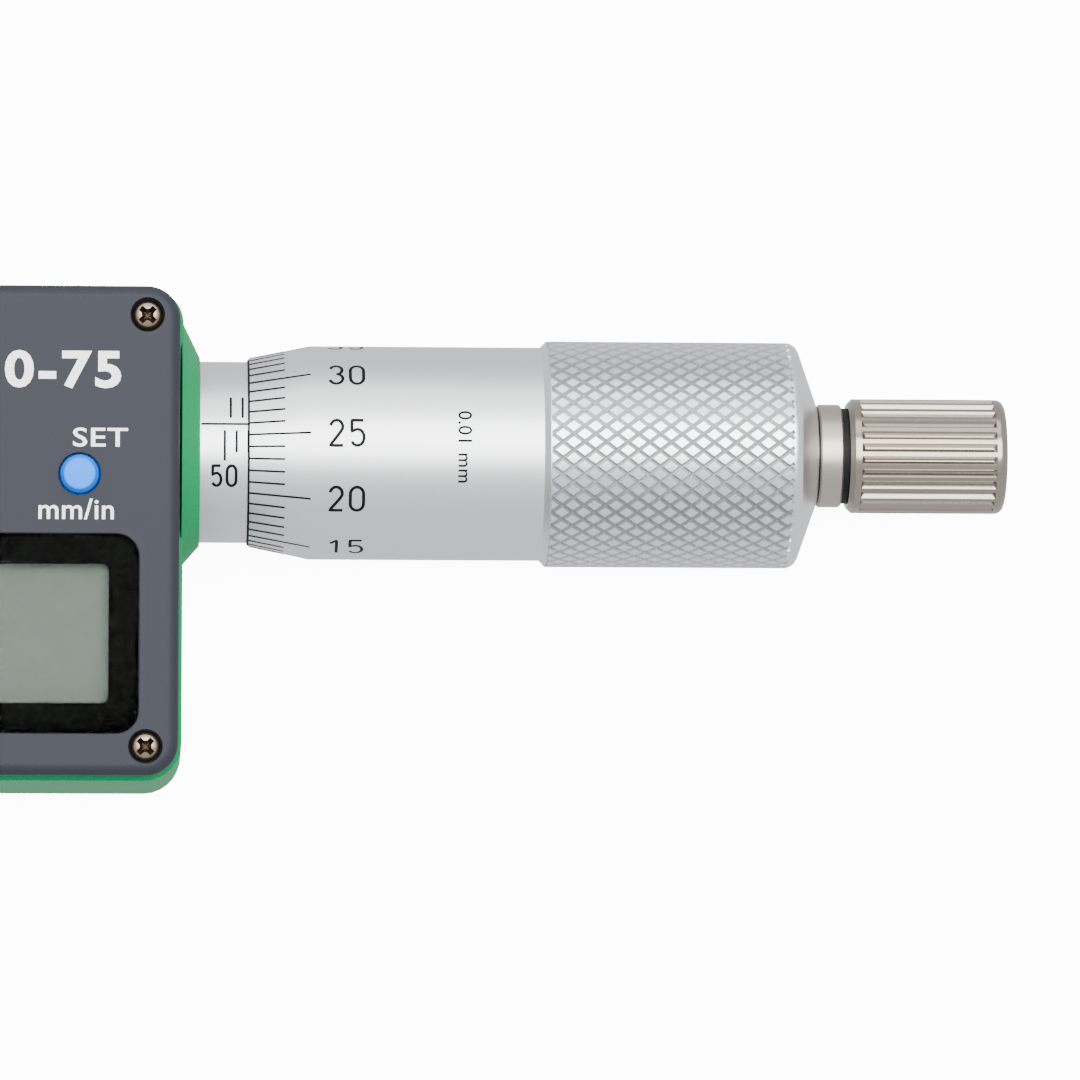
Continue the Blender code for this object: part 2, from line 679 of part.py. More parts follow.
def housing_base():
    """The base block, with its lower flank drafted outwards towards the back."""
    base = plate("base_block", [base_outline()], BASE_BACK_Z, BASE_TOP_Z)
    for vertex in base.data.vertices:
        if vertex.co.z < 0 and vertex.co.y < THROAT_CENTRE_Y:
            share = (vertex.co.y - THROAT_CENTRE_Y) / (BASE_BOTTOM_Y - THROAT_CENTRE_Y)
            vertex.co.y -= BASE_FLARE * share
    round_rim(base, BASE_BACK_Z, BASE_BACK_R, 2)
    return round_rim(base, BASE_TOP_Z, BASE_FRONT_R, 1)


def sleeve_boss():
    """The low cone that the sleeve comes out of. Its foot sits a little above the spindle axis."""
    foot_x = COVER_RIGHT_X + ROUND_GAP
    middle_x = (foot_x + BOSS_END_X) / 2
    bm = bmesh.new()
    bmesh.ops.create_cone(
        bm,
        cap_ends=True,
        segments=BOSS_SEGMENTS,
        radius1=BOSS_FOOT_R,
        radius2=SLEEVE_R + ROUND_GAP + BOSS_LIP,
        depth=BOSS_END_X - foot_x,
        matrix=Matrix.Translation((middle_x, 0.0, 0.0)) @ Matrix.Rotation(math.pi / 2, 4, "Y"),
    )
    foot = [vertex for vertex in bm.verts if vertex.co.x < middle_x]
    bmesh.ops.translate(bm, verts=foot, vec=(0.0, BOSS_FOOT_LIFT, 0.0))
    return link_bmesh("sleeve_boss", bm)


def spindle_bores():
    """Everything that is bored along the spindle axis from the throat to the sleeve."""
    room_r = SPINDLE_R + SPINDLE_ROOM
    bush_end = RIGHT_FACE_X + BUSH_LENGTH + SEAT_GAP
    steps = [
        (RIGHT_FACE_X - OVERCUT, bush_end, BUSH_R + ROUND_GAP),
        (bush_end, HUB_BORE_X, room_r),
        (HUB_BORE_X, CHAMBER_X, HUB_R + SLIDE_GAP),
        (CHAMBER_X, CHAMBER_END_X, STATOR_R + STATOR_CLEARANCE),
        (CHAMBER_END_X, BOSS_END_X - SLEEVE_SEAT - SEAT_GAP, GUIDE_R + ROUND_GAP),
        (BOSS_END_X - SLEEVE_SEAT - SEAT_GAP, BOSS_END_X + OVERCUT, SLEEVE_R + ROUND_GAP),
    ]
    return stepped("spindle_bores", steps)


def cover_screw_places():
    """Centres of the four cover screws."""
    columns = (COVER_LEFT_X + COVER_SCREW_INSET, COVER_RIGHT_X - COVER_SCREW_INSET)
    rows = (COVER_TOP_Y - COVER_SCREW_TOP_INSET, COVER_BOTTOM_Y + COVER_SCREW_BOTTOM_INSET)
    return [(x, y) for y in rows for x in columns]


def lid_screw_places():
    """Centres of the two battery cover screws."""
    return [(COVER_CENTRE_X - LID_SCREW_OFFSET, CELL_Y), (COVER_CENTRE_X + LID_SCREW_OFFSET, CELL_Y)]


def plate_screw_places():
    """Centres of the grip plate screws, on the middle of the bow."""
    middle_x = (THROAT_CENTRE_X + OUTER_CENTRE_X) / 2
    middle_r = (THROAT_R + OUTER_R) / 2
    angles = [math.radians(a) for a in PLATE_SCREW_DEG]
    return [(middle_x + middle_r * math.cos(a), THROAT_CENTRE_Y + middle_r * math.sin(a)) for a in angles]


def lid_outline(gap=0.0):
    """The battery cover's outline, or the pocket's that it seats in."""
    reach = LID_SCREW_OFFSET + LID_SCREW_EDGE + gap
    half = LID_WIDTH / 2 + gap
    radius = LID_CORNER_R + gap
    return rectangle(COVER_CENTRE_X - reach, CELL_Y - half, COVER_CENTRE_X + reach, CELL_Y + half, radius)


def make_frame():
    """The frame: bow, anvil arm, spindle boss and housing base in one casting."""
    frame = plate("frame", [web_outline()], -WEB_HALF, WEB_HALF)
    round_rim(frame, WEB_HALF, WEB_EDGE_R, 2)
    round_rim(frame, -WEB_HALF, WEB_EDGE_R, 2)
    anvil_boss = cylinder("anvil_boss", ARM_OUTER_X - BASE_FRONT_R, LEFT_FACE_X + BASE_FRONT_R, ARM_BOSS_R)
    spindle_boss = cylinder("spindle_boss", RIGHT_FACE_X, COVER_LEFT_X, SPINDLE_BOSS_R)
    for joined in (housing_base(), anvil_boss, spindle_boss, sleeve_boss()):
        combine(frame, joined, "UNION")
    combine(frame, spindle_bores())
    seat_end = LEFT_FACE_X - ANVIL_SEAT - SEAT_GAP
    combine(frame, cylinder("anvil_bore", seat_end, LEFT_FACE_X + OVERCUT, SPINDLE_R + ROUND_GAP))
    pocket_low = (COVER_LEFT_X + POCKET_INSET, POCKET_BOTTOM_Y, POCKET_FLOOR_Z)
    pocket_high = (COVER_RIGHT_X - POCKET_INSET, POCKET_TOP_Y, BASE_TOP_Z + OVERCUT)
    combine(frame, block("board_pocket", pocket_low, pocket_high))
    cut_battery_bay(frame)
    cut_lock_hole(frame)
    for i, place in enumerate(cover_screw_places()):
        low = COVER_Z - COVER_SCREW_GRIP - SEAT_GAP
        high = BASE_TOP_Z + OVERCUT
        radius = COVER_SCREW_R + ROUND_GAP
        combine(frame, cylinder(f"cover_tap_{i}", low, high, radius, "Z", place, SCREW_SEGMENTS))
    reach = PLATE_SCREW_GRIP + SEAT_GAP
    for i, place in enumerate(plate_screw_places()):
        for side, (low, high) in {
            "front": (WEB_HALF - reach, WEB_HALF + OVERCUT),
            "rear": (-WEB_HALF - OVERCUT, reach - WEB_HALF),
        }.items():
            radius = PLATE_SCREW_R + ROUND_GAP
            hole = cylinder(f"{side}_plate_tap_{i}", low, high, radius, "Z", place, SCREW_SEGMENTS)
            combine(frame, hole)
    return piece(frame, GREEN_PAINT)


def cut_battery_bay(frame):
    """The battery cover's pocket, the cell's bore, the seal groove and the two tapped holes."""
    centre = (COVER_CENTRE_X, CELL_Y)
    pocket = plate("lid_pocket", [lid_outline(ROUND_GAP)], BASE_BACK_Z - OVERCUT, LID_SEAT_Z)
    combine(frame, pocket)
    bore = cylinder("cell_bore", LID_SEAT_Z - OVERCUT, CELL_ROOF_Z, CELL_BORE_R, "Z", centre)
    combine(frame, bore)
    inner = LID_SEAL_R
    outer = LID_SEAL_R + LID_SEAL_WALL + 2 * ROUND_GAP
    low = LID_SEAT_Z - OVERCUT
    high = LID_SEAT_Z + LID_SEAL_DEPTH
    combine(frame, ring("seal_groove", low, high, outer, inner, "Z", centre))
    for i, place in enumerate(lid_screw_places()):
        top = LID_SEAT_Z + LID_SCREW_GRIP + SEAT_GAP
        radius = LID_SCREW_R + ROUND_GAP
        combine(frame, cylinder(f"lid_tap_{i}", low, top, radius, "Z", place, SCREW_SEGMENTS))


def cut_lock_hole(item):
    """The cross hole of the lock stem, and the pocket behind it for the clip."""
    centre = (LOCK_X, LOCK_Y)
    low = BASE_BACK_Z - OVERCUT
    floor = BASE_BACK_Z + LOCK_POCKET_DEPTH
    hole_r = LOCK_STEM_R + SLIDE_GAP
    high = BASE_TOP_Z + OVERCUT
    steps = [(low, floor, LOCK_POCKET_R), (floor, high, hole_r)]
    combine(item, stepped(item.name + "_lock_hole", steps, "Z", centre))


def make_anvil():
    """The anvil pin and the carbide disc brazed to it."""
    end = LEFT_FACE_X - ANVIL_SEAT
    chamfer = BRAZE_LINE * 3
    profile = [
        (-TIP_LENGTH - BRAZE_LINE, 0.0),
        (-TIP_LENGTH - BRAZE_LINE, SPINDLE_R),
        (end + chamfer, SPINDLE_R),
        (end, SPINDLE_R - chamfer),
        (end, 0.0),
    ]
    piece(turned("anvil", profile), GROUND_STEEL)
    piece(cylinder("anvil_tip", -TIP_LENGTH, 0.0, SPINDLE_R), CARBIDE)


def make_spindle_guides():
    """The front bush and its wiper seal, the inner sleeve with the nut thread, and the adjusting nut."""
    face = RIGHT_FACE_X
    end = face + BUSH_LENGTH
    seal_r = BUSH_BORE_R + SEAL_WALL
    bush = turned(
        "spindle_bush",
        [(face, BUSH_R), (end, BUSH_R), (end, BUSH_BORE_R), (face + SEAL_DEPTH, BUSH_BORE_R),
         (face + SEAL_DEPTH, seal_r), (face, seal_r)],
        segments=SMALL_SEGMENTS,
    )
    cut_lock_hole(bush)
    piece(bush, GROUND_STEEL)
    low = face + ROUND_GAP
    high = face + SEAL_DEPTH - ROUND_GAP
    lip = BUSH_BORE_R - SLIDE_GAP / 2
    outer = seal_r - ROUND_GAP / 2
    seal = turned("spindle_seal", [(low, outer), (high, outer), (high, lip + ROUND_GAP), (low, lip)],
                  segments=SMALL_SEGMENTS)
    piece(seal, GREY_RUBBER)
    thread_x = GUIDE_END_X - GUIDE_THREAD_LENGTH
    guide = turned(
        "inner_sleeve",
        [(CHAMBER_END_X, GUIDE_R), (thread_x, GUIDE_R), (thread_x, THREAD_R), (GUIDE_END_X, THREAD_R),
         (GUIDE_END_X, BUSH_BORE_R), (CHAMBER_END_X, BUSH_BORE_R)],
        segments=SMALL_SEGMENTS,
    )
    slit_x = GUIDE_END_X - GUIDE_SLIT_LENGTH
    for i in range(GUIDE_SLITS):
        low = (slit_x, -GUIDE_SLIT_WIDTH / 2, 0.0)
        slit = block(f"guide_slit_{i}", low, (GUIDE_END_X + OVERCUT, GUIDE_SLIT_WIDTH / 2, SLEEVE_R))
        slit.rotation_euler.x = math.tau * i / GUIDE_SLITS
        combine(guide, slit)
    piece(guide, GROUND_STEEL)
    nut_bore = THREAD_R + ROUND_GAP
    nut_r = nut_bore + NUT_WALL
    nut = ring("adjusting_nut", NUT_X, NUT_END_X, nut_r, nut_bore)
    half = NUT_SLOT_WIDTH / 2
    slot_low = (NUT_END_X - NUT_SLOT_DEPTH, -half, -SLEEVE_R)
    combine(nut, block("nut_slot", slot_low, (NUT_END_X + OVERCUT, half, SLEEVE_R)))
    piece(nut, GROUND_STEEL)


def make_outer_sleeve():
    """The sleeve that carries the millimetre scale."""
    start = BOSS_END_X - SLEEVE_SEAT
    end = SLEEVE_END_X
    sleeve = turned(
        "outer_sleeve",
        [(start, SLEEVE_R), (end - SLEEVE_CHAMFER, SLEEVE_R), (end, SLEEVE_R - SLEEVE_CHAMFER),
         (end, SLEEVE_BORE_R), (start, SLEEVE_BORE_R)],
    )
    piece(sleeve, SATIN_CHROME)


def make_encoder(rotor_joint):
    """The fixed electrode disc, the rotor keyed to the spindle, and the spring that seats the rotor."""
    room_r = SPINDLE_R + SPINDLE_ROOM
    end = STATOR_X + STATOR_THICKNESS
    piece(ring("encoder_stator", STATOR_X, end, STATOR_R, room_r), BOARD_LAMINATE)
    disc_end = ROTOR_X + ROTOR_THICKNESS
    rotor = turned(
        "encoder_rotor",
        [(HUB_X, HUB_R), (ROTOR_X, HUB_R), (ROTOR_X, ROTOR_R), (disc_end, ROTOR_R),
         (disc_end, BUSH_BORE_R), (HUB_X, BUSH_BORE_R)],
        segments=SMALL_SEGMENTS,
    )
    key_low = (HUB_X + KEY_END_CLEARANCE, -KEY_WIDTH / 2, -(BUSH_BORE_R + HUB_WALL / 2))
    key_high = (ROTOR_X - KEY_END_CLEARANCE, KEY_WIDTH / 2, -(SPINDLE_R - KEY_DEPTH))
    combine(rotor, block("rotor_key", key_low, key_high), "UNION")
    piece(rotor, GROUND_STEEL, rotor_joint)
    spring_r = (HUB_R + SLIDE_GAP + SPINDLE_R) / 2
    low, high = HUB_BORE_X + ROUND_GAP, HUB_X - ROUND_GAP
    spring = coil("rotor_spring", low, high, spring_r, ROTOR_SPRING_WIRE_R, ROTOR_SPRING_TURNS)
    piece(spring, SPRING_STEEL)


def make_spindle(spindle_joint):
    """The spindle with its key groove, thread length and tail taper, and its carbide tip."""
    start = READING + TIP_LENGTH + BRAZE_LINE
    thread_x = GUIDE_END_X - GUIDE_THREAD_LENGTH - (RANGE_HIGH - READING) - BUSH_LENGTH
    shoulder = CAVITY_END_X - SEAT_GAP
    spindle = turned(
        "spindle",
        [
            (start, 0.0),
            (start, SPINDLE_R),
            (thread_x, SPINDLE_R),
            (thread_x + THREAD_RELIEF, SPINDLE_R - THREAD_RELIEF),
            (shoulder, SPINDLE_R - THREAD_RELIEF),
            (shoulder, TAPER_R),
            (TAPER_END_X, TAPER_END_R),
            (TAPER_END_X, 0.0),
        ],
    )
    opening = RANGE_HIGH - READING
    closing = READING - RANGE_LOW
    groove_low_x = HUB_X - opening
    groove_high_x = ROTOR_X + closing
    half = KEY_WIDTH / 2 + SLIDE_GAP
    floor = -(SPINDLE_R - KEY_DEPTH - SLIDE_GAP)
    low = (groove_low_x, -half, -SPINDLE_R - OVERCUT)
    combine(spindle, block("key_groove", low, (groove_high_x, half, floor)))
    piece(spindle, GROUND_STEEL, spindle_joint)
    piece(cylinder("spindle_tip", READING, READING + TIP_LENGTH, SPINDLE_R), CARBIDE, spindle_joint)


def make_thimble(spindle_joint):
    """The thimble: bevelled scale edge, smooth barrel, grip band and the wall that seats on the taper."""
    edge_r = THIMBLE_BORE_R + EDGE_WALL
    foot_x = GRIP_X - GRIP_GROOVE
    stem_bore_r = STEM_R + ROUND_GAP
    taper_end = TAPER_END_X + SEAT_GAP
    profile = [
        (EDGE_X, edge_r),
        (EDGE_X + BEVEL_LENGTH, THIMBLE_R),
        (foot_x - GRIP_CHAMFER, THIMBLE_R),
        (foot_x, GRIP_R),
        (foot_x, GRIP_R - GRIP_GROOVE * 2),
        (GRIP_X, GRIP_R - GRIP_GROOVE * 2),
        (GRIP_X, GRIP_R),
        (GRIP_END_X - GRIP_ROUND, GRIP_R),
        (GRIP_END_X - GRIP_ROUND / 4, GRIP_R - GRIP_ROUND / 3),
        (GRIP_END_X, GRIP_R - GRIP_ROUND),
        (THIMBLE_END_X, NECK_R),
        (THIMBLE_END_X, stem_bore_r),
        (taper_end, stem_bore_r),
        (taper_end, TAPER_END_R + ROUND_GAP),
        (CAVITY_END_X, TAPER_R + ROUND_GAP),
        (CAVITY_END_X, THIMBLE_BORE_R),
        (EDGE_X, THIMBLE_BORE_R),
    ]
    piece(turned("thimble", profile), SATIN_CHROME, spindle_joint)


def toothed_ring(name, start, facing, bore_r, rim_r):
    """A ring with saw teeth on the face that looks along facing, which is 1 for +X and -1 for -X."""
    back = start if facing > 0 else start + TOOTH_BACKING + TOOTH_HEIGHT
    root = back + facing * TOOTH_BACKING
    tip = root + facing * TOOTH_HEIGHT
    low, high = min(back, tip), max(back, tip)
    blank = ring(name, low, high, rim_r, bore_r, segments=TOOTH_COUNT * 2)
    bm = bmesh.new()
    pitch = math.tau / TOOTH_COUNT
    reach = rim_r + OVERCUT
    notch = bmesh.ops.create_cube(bm, size=1.0)["verts"]
    for vertex in notch:
        across = pitch * (TOOTH_ROOT_SHARE if vertex.co.y < 0 else TOOTH_TIP_SHARE)
        deep = vertex.co.x * facing < 0
        radius = bore_r - OVERCUT if vertex.co.z < 0 else reach
        along = root if deep and vertex.co.y < 0 else tip + facing * (OVERCUT if not deep else 0.0)
        vertex.co = (along, radius * math.sin(across), radius * math.cos(across))
    bmesh.ops.recalc_face_normals(bm, faces=bm.faces)
    first = bm.verts[:] + bm.edges[:] + bm.faces[:]
    for i in range(1, TOOTH_COUNT):
        copied = bmesh.ops.duplicate(bm, geom=first)["geom"]
        moved = [v for v in copied if isinstance(v, bmesh.types.BMVert)]
        turn = Matrix.Rotation(pitch * i, 3, "X")
        bmesh.ops.rotate(bm, verts=moved, cent=(0, 0, 0), matrix=turn)
    return combine(blank, link_bmesh(name + "_gullets", bm))


def flute_cutter():
    """The grooves of the ratchet knob, as one cutter of separate prisms with sloping ends."""
    start = KNOB_X + FLUTE_START
    end = KNOB_END_X - FLUTE_END
    root_r = KNOB_R - FLUTE_DEPTH
    bm = bmesh.new()
    verts = bmesh.ops.create_cube(bm, size=1.0)["verts"]
    for vertex in verts:
        outside = vertex.co.z > 0
        height = KNOB_R + FLUTE_DEPTH if outside else root_r
        width = FLUTE_WIDTH + (FLUTE_WIDTH - FLUTE_ROOT) if outside else FLUTE_ROOT
        inset = -FLUTE_DEPTH if outside else FLUTE_DEPTH
        along = start + inset if vertex.co.x < 0 else end - inset
        vertex.co = (along, math.copysign(width / 2, vertex.co.y), height)
    first = bm.verts[:] + bm.edges[:] + bm.faces[:]
    for i in range(1, FLUTES):
        copied = bmesh.ops.duplicate(bm, geom=first)["geom"]
        moved = [v for v in copied if isinstance(v, bmesh.types.BMVert)]
        turn = Matrix.Rotation(math.tau * i / FLUTES, 3, "X")
        bmesh.ops.rotate(bm, verts=moved, cent=(0, 0, 0), matrix=turn)
    bmesh.ops.recalc_face_normals(bm, faces=bm.faces)
    return link_bmesh("flute_cutter", bm)


def make_ratchet(spindle_joint, knob_joint):
    """The ratchet stop: body and toothed wheel on the spindle, and knob, pawl ring and spring round them."""
    stem_x = TAPER_END_X + 2 * SEAT_GAP
    hole_r = RATCHET_SCREW_R + ROUND_GAP
    hole_x = POST_END_X - POST_HOLE_DEPTH
    body = turned(
        "ratchet_body",
        [
            (stem_x, 0.0),
            (stem_x, STEM_R),
            (NECK_X, STEM_R),
            (NECK_X, NECK_R),
            (NECK_END_X - NECK_CHAMFER, NECK_R),
            (NECK_END_X, NECK_R - NECK_CHAMFER),
            (NECK_END_X, POST_R),
            (POST_END_X, POST_R),
            (POST_END_X, hole_r),
            (hole_x, hole_r),
            (hole_x, 0.0),
        ],
        segments=SMALL_SEGMENTS,
    )
    piece(body, BRIGHT_STEEL, spindle_joint)
    ring_bore_r = POST_R + ROUND_GAP
    rim_r = KNOB_BORE_R - ROUND_GAP
    wheel = toothed_ring("ratchet_wheel", WHEEL_X, 1, ring_bore_r, rim_r)
    piece(wheel, GROUND_STEEL, spindle_joint)
    pawl = toothed_ring("ratchet_pawl", PAWL_X, -1, ring_bore_r, rim_r)
    piece(pawl, GROUND_STEEL, knob_joint)
    spring_r = (POST_R + KNOB_BORE_R) / 2
    spring = coil(
        "ratchet_spring",
        PAWL_END_X + ROUND_GAP,
        KNOB_CAVITY_END_X - ROUND_GAP,
        spring_r,
        RATCHET_SPRING_WIRE_R,
        RATCHET_SPRING_TURNS,
    )
    piece(spring, SPRING_STEEL, knob_joint)
    head_x = KNOB_SEAT_X + SEAT_GAP
    shank_x = hole_x + SEAT_GAP
    head_end = head_x + RATCHET_SCREW_HEAD
    steps = [(shank_x, head_x, RATCHET_SCREW_R), (head_x, head_end, RATCHET_SCREW_HEAD_R)]
    screw = stepped("ratchet_screw", steps)
    half = RATCHET_SCREW_R / 2
    slot_low = (head_x + RATCHET_SCREW_HEAD / 2, -half, -KNOB_R)
    combine(screw, block("ratchet_screw_slot", slot_low, (head_end + OVERCUT, half, KNOB_R)))
    piece(screw, SCREW_STEEL, spindle_joint)
    counterbore_r = RATCHET_SCREW_HEAD_R + SEAT_GAP
    knob = turned(
        "ratchet_knob",
        [
            (KNOB_X, KNOB_BORE_R),
            (KNOB_X, KNOB_R - KNOB_CHAMFER),
            (KNOB_X + KNOB_CHAMFER, KNOB_R),
            (KNOB_END_X - KNOB_ROUND, KNOB_R),
            (KNOB_END_X - KNOB_ROUND / 4, KNOB_R - KNOB_ROUND / 3),
            (KNOB_END_X, KNOB_R - KNOB_ROUND),
            (KNOB_END_X, counterbore_r),
            (KNOB_SEAT_X, counterbore_r),
            (KNOB_SEAT_X, POST_R),
            (KNOB_CAVITY_END_X, POST_R),
            (KNOB_CAVITY_END_X, KNOB_BORE_R),
        ],
        segments=FLUTES,
    )
    combine(knob, flute_cutter())
    piece(knob, BRIGHT_STEEL, knob_joint)


def inset_outline(inset, corner_clear):
    """The cover's outline moved inwards, its corners cut off to clear the screw posts by corner_clear."""
    low_x, high_x = COVER_LEFT_X + inset, COVER_RIGHT_X - inset
    low_y, high_y = COVER_BOTTOM_Y + inset, COVER_TOP_Y - inset
    reach = COVER_SCREW_INSET + COVER_SCREW_BOTTOM_INSET + corner_clear * math.sqrt(2)
    cut = max(reach - 2 * inset, inset)
    return [
        (low_x + cut, low_y), (high_x - cut, low_y), (high_x, low_y + cut), (high_x, high_y - cut),
        (high_x - cut, high_y), (low_x + cut, high_y), (low_x, high_y - cut), (low_x, low_y + cut),
    ]


def window_outline(inset=0.0, radius=WINDOW_CORNER_R):
    """The display window's outline, or one inside it."""
    return rectangle(
        COVER_LEFT_X + WINDOW_SIDE_INSET + inset,
        WINDOW_BOTTOM_Y + inset,
        COVER_RIGHT_X - WINDOW_SIDE_INSET - inset,
        WINDOW_TOP_Y - inset,
        radius,
    )


def button_places():
    """Centres of the two push buttons."""
    return {
        "left_button": (COVER_LEFT_X + BUTTON_INSET, BUTTON_Y),
        "right_button": (COVER_RIGHT_X - BUTTON_INSET, BUTTON_Y),
    }


def make_cover():
    """The moulded front cover: a shell with four screw posts, the window's recess and the button holes."""
    edge = rectangle(COVER_LEFT_X, COVER_BOTTOM_Y, COVER_RIGHT_X, COVER_TOP_Y, COVER_CORNER_R)
    cover = plate("front_cover", [edge], COVER_Z, COVER_FACE_Z)
    round_rim(cover, COVER_FACE_Z, COVER_EDGE_R, 3)
    low = (COVER_LEFT_X + COVER_WALL, COVER_BOTTOM_Y + COVER_WALL, COVER_Z - OVERCUT)
    high = (COVER_RIGHT_X - COVER_WALL, COVER_TOP_Y - COVER_WALL, COVER_INNER_Z)
    hollow = block("cover_hollow", low, high)
    head_low = COVER_FACE_Z - COVER_SCREW_SINK - COVER_SCREW_HEAD_HEIGHT - SEAT_GAP
    for i, place in enumerate(cover_screw_places()):
        ends = (COVER_Z - 2 * OVERCUT, COVER_INNER_Z + OVERCUT)
        post = cylinder(f"cover_post_{i}", *ends, COVER_POST_R, "Z", place, SMALL_SEGMENTS)
        combine(hollow, post)
    combine(cover, hollow)
    shank_r = COVER_SCREW_R + ROUND_GAP
    head_r = COVER_SCREW_HEAD_R + ROUND_GAP
    bottom = COVER_Z - OVERCUT
    top = COVER_FACE_Z + OVERCUT
    for i, place in enumerate(cover_screw_places()):
        steps = [(bottom, head_low, shank_r), (head_low, top, head_r)]
        combine(cover, stepped(f"cover_screw_hole_{i}", steps, "Z", place))
    recess = plate("window_recess", [window_outline(-ROUND_GAP / 2)], WINDOW_SEAT_Z, COVER_FACE_Z + OVERCUT)
    view = plate("view_opening", [window_outline(VIEW_BORDER - ROUND_GAP, VIEW_CORNER_R)],
                 COVER_INNER_Z - OVERCUT, COVER_FACE_Z)
    combine(cover, recess)
    combine(cover, view)
    for name, place in button_places().items():
        ends = (COVER_INNER_Z - OVERCUT, top)
        combine(cover, cylinder(name + "_hole", *ends, BUTTON_R + SLIDE_GAP, "Z", place, SMALL_SEGMENTS))
    piece(cover, COVER_PLASTIC)
    clear = COVER_POST_R + ROUND_GAP
    outer = inset_outline(COVER_WALL + ROUND_GAP, clear)
    inner = inset_outline(COVER_WALL + ROUND_GAP + SEAL_WIDTH, clear + SEAL_WIDTH)
    piece(plate("cover_seal", [outer, inner], COVER_Z, COVER_Z + SEAL_HEIGHT), GREY_RUBBER)


def make_display():
    """The window, the LCD in its holder, the connector strip under it and the circuit board."""
    piece(plate("display_window", [window_outline()], WINDOW_Z, WINDOW_TOP_Z), CLEAR_GLASS)
    glass_inset = VIEW_BORDER - LCD_BORDER
    glass = window_outline(glass_inset, 0.0)
    piece(plate("lcd_panel", [glass], LCD_Z, LCD_TOP_Z), LCD_GLASS)
    outer_inset = glass_inset - ROUND_GAP - HOLDER_WALL
    corners = window_outline(outer_inset, 0.0)
    cut = HOLDER_CORNER
    (low_x, low_y), (high_x, high_y) = corners[0], corners[2]
    rim = [
        (low_x + cut, low_y), (high_x - cut, low_y), (high_x, low_y + cut), (high_x, high_y - cut),
        (high_x - cut, high_y), (low_x + cut, high_y), (low_x, high_y - cut), (low_x, low_y + cut),
    ]
    opening = window_outline(glass_inset - ROUND_GAP, 0.0)
    holder_z = BOARD_TOP_Z + SEAT_GAP
    piece(plate("display_holder", [rim, opening], holder_z, LCD_TOP_Z), WHITE_PLASTIC)
    (low_x, low_y), (high_x, _) = glass[0], glass[2]
    strip_low = (low_x + CONNECTOR_WIDTH, low_y + SOFT_GAP, BOARD_TOP_Z + SOFT_GAP)
    strip_high = (high_x - CONNECTOR_WIDTH, low_y + SOFT_GAP + CONNECTOR_WIDTH, LCD_Z - SOFT_GAP)
    piece(block("display_connector", strip_low, strip_high), GREY_RUBBER)
    clear = COVER_POST_R + 2 * ROUND_GAP + SEAL_WIDTH
    board = inset_outline(COVER_WALL + 2 * ROUND_GAP + SEAL_WIDTH, clear)
    piece(plate("circuit_board", [board], BOARD_Z, BOARD_TOP_Z), BOARD_LAMINATE)


def make_buttons(button_joints):
    """The rubber key pad on the board and the two push buttons over it."""
    places = button_places()
    ends = [x for x, _ in places.values()]
    low_x, high_x = min(ends) - KEY_PAD_END, max(ends) + KEY_PAD_END
    half = KEY_PAD_WIDTH / 2
    pad = rectangle(low_x, BUTTON_Y - half, high_x, BUTTON_Y + half, KEY_PAD_CORNER_R)
    flange_top = COVER_INNER_Z - SEAT_GAP
    flange_low = flange_top - BUTTON_FLANGE_HEIGHT
    pad_top = flange_low - BUTTON_TRAVEL - SEAT_GAP
    piece(plate("key_pad", [pad], BOARD_TOP_Z + SOFT_GAP, pad_top), GREY_RUBBER)
    top = COVER_FACE_Z + BUTTON_PROUD
    for name, place in places.items():
        profile = [
            (flange_low, 0.0),
            (flange_low, BUTTON_FLANGE_R),
            (flange_top, BUTTON_FLANGE_R),
            (flange_top, BUTTON_R),
            (COVER_FACE_Z, BUTTON_R),
            (top - BUTTON_CROWN, BUTTON_TOP_R),
            (top, BUTTON_TOP_R - BUTTON_CROWN * 2),
            (top, 0.0),
        ]
        piece(turned(name, profile, "Z", place, SMALL_SEGMENTS), BLUE_PLASTIC, button_joints[name])


def screw_shape(name, head_r, head_height, shank_r, grip):
    """A domed screw, with its head's underside at height 0 and its shank below."""
    screw = turned(
        name,
        [(-grip, 0.0), (-grip, shank_r), (0.0, shank_r), (0.0, head_r), (head_height * 0.5, head_r),
         (head_height, head_r * 0.6), (head_height, 0.0)],
        "Z",
        segments=SCREW_SEGMENTS,
    )
    freeze(screw)
    screw.data.transform(Matrix.Translation(screw.location))
    return screw.data


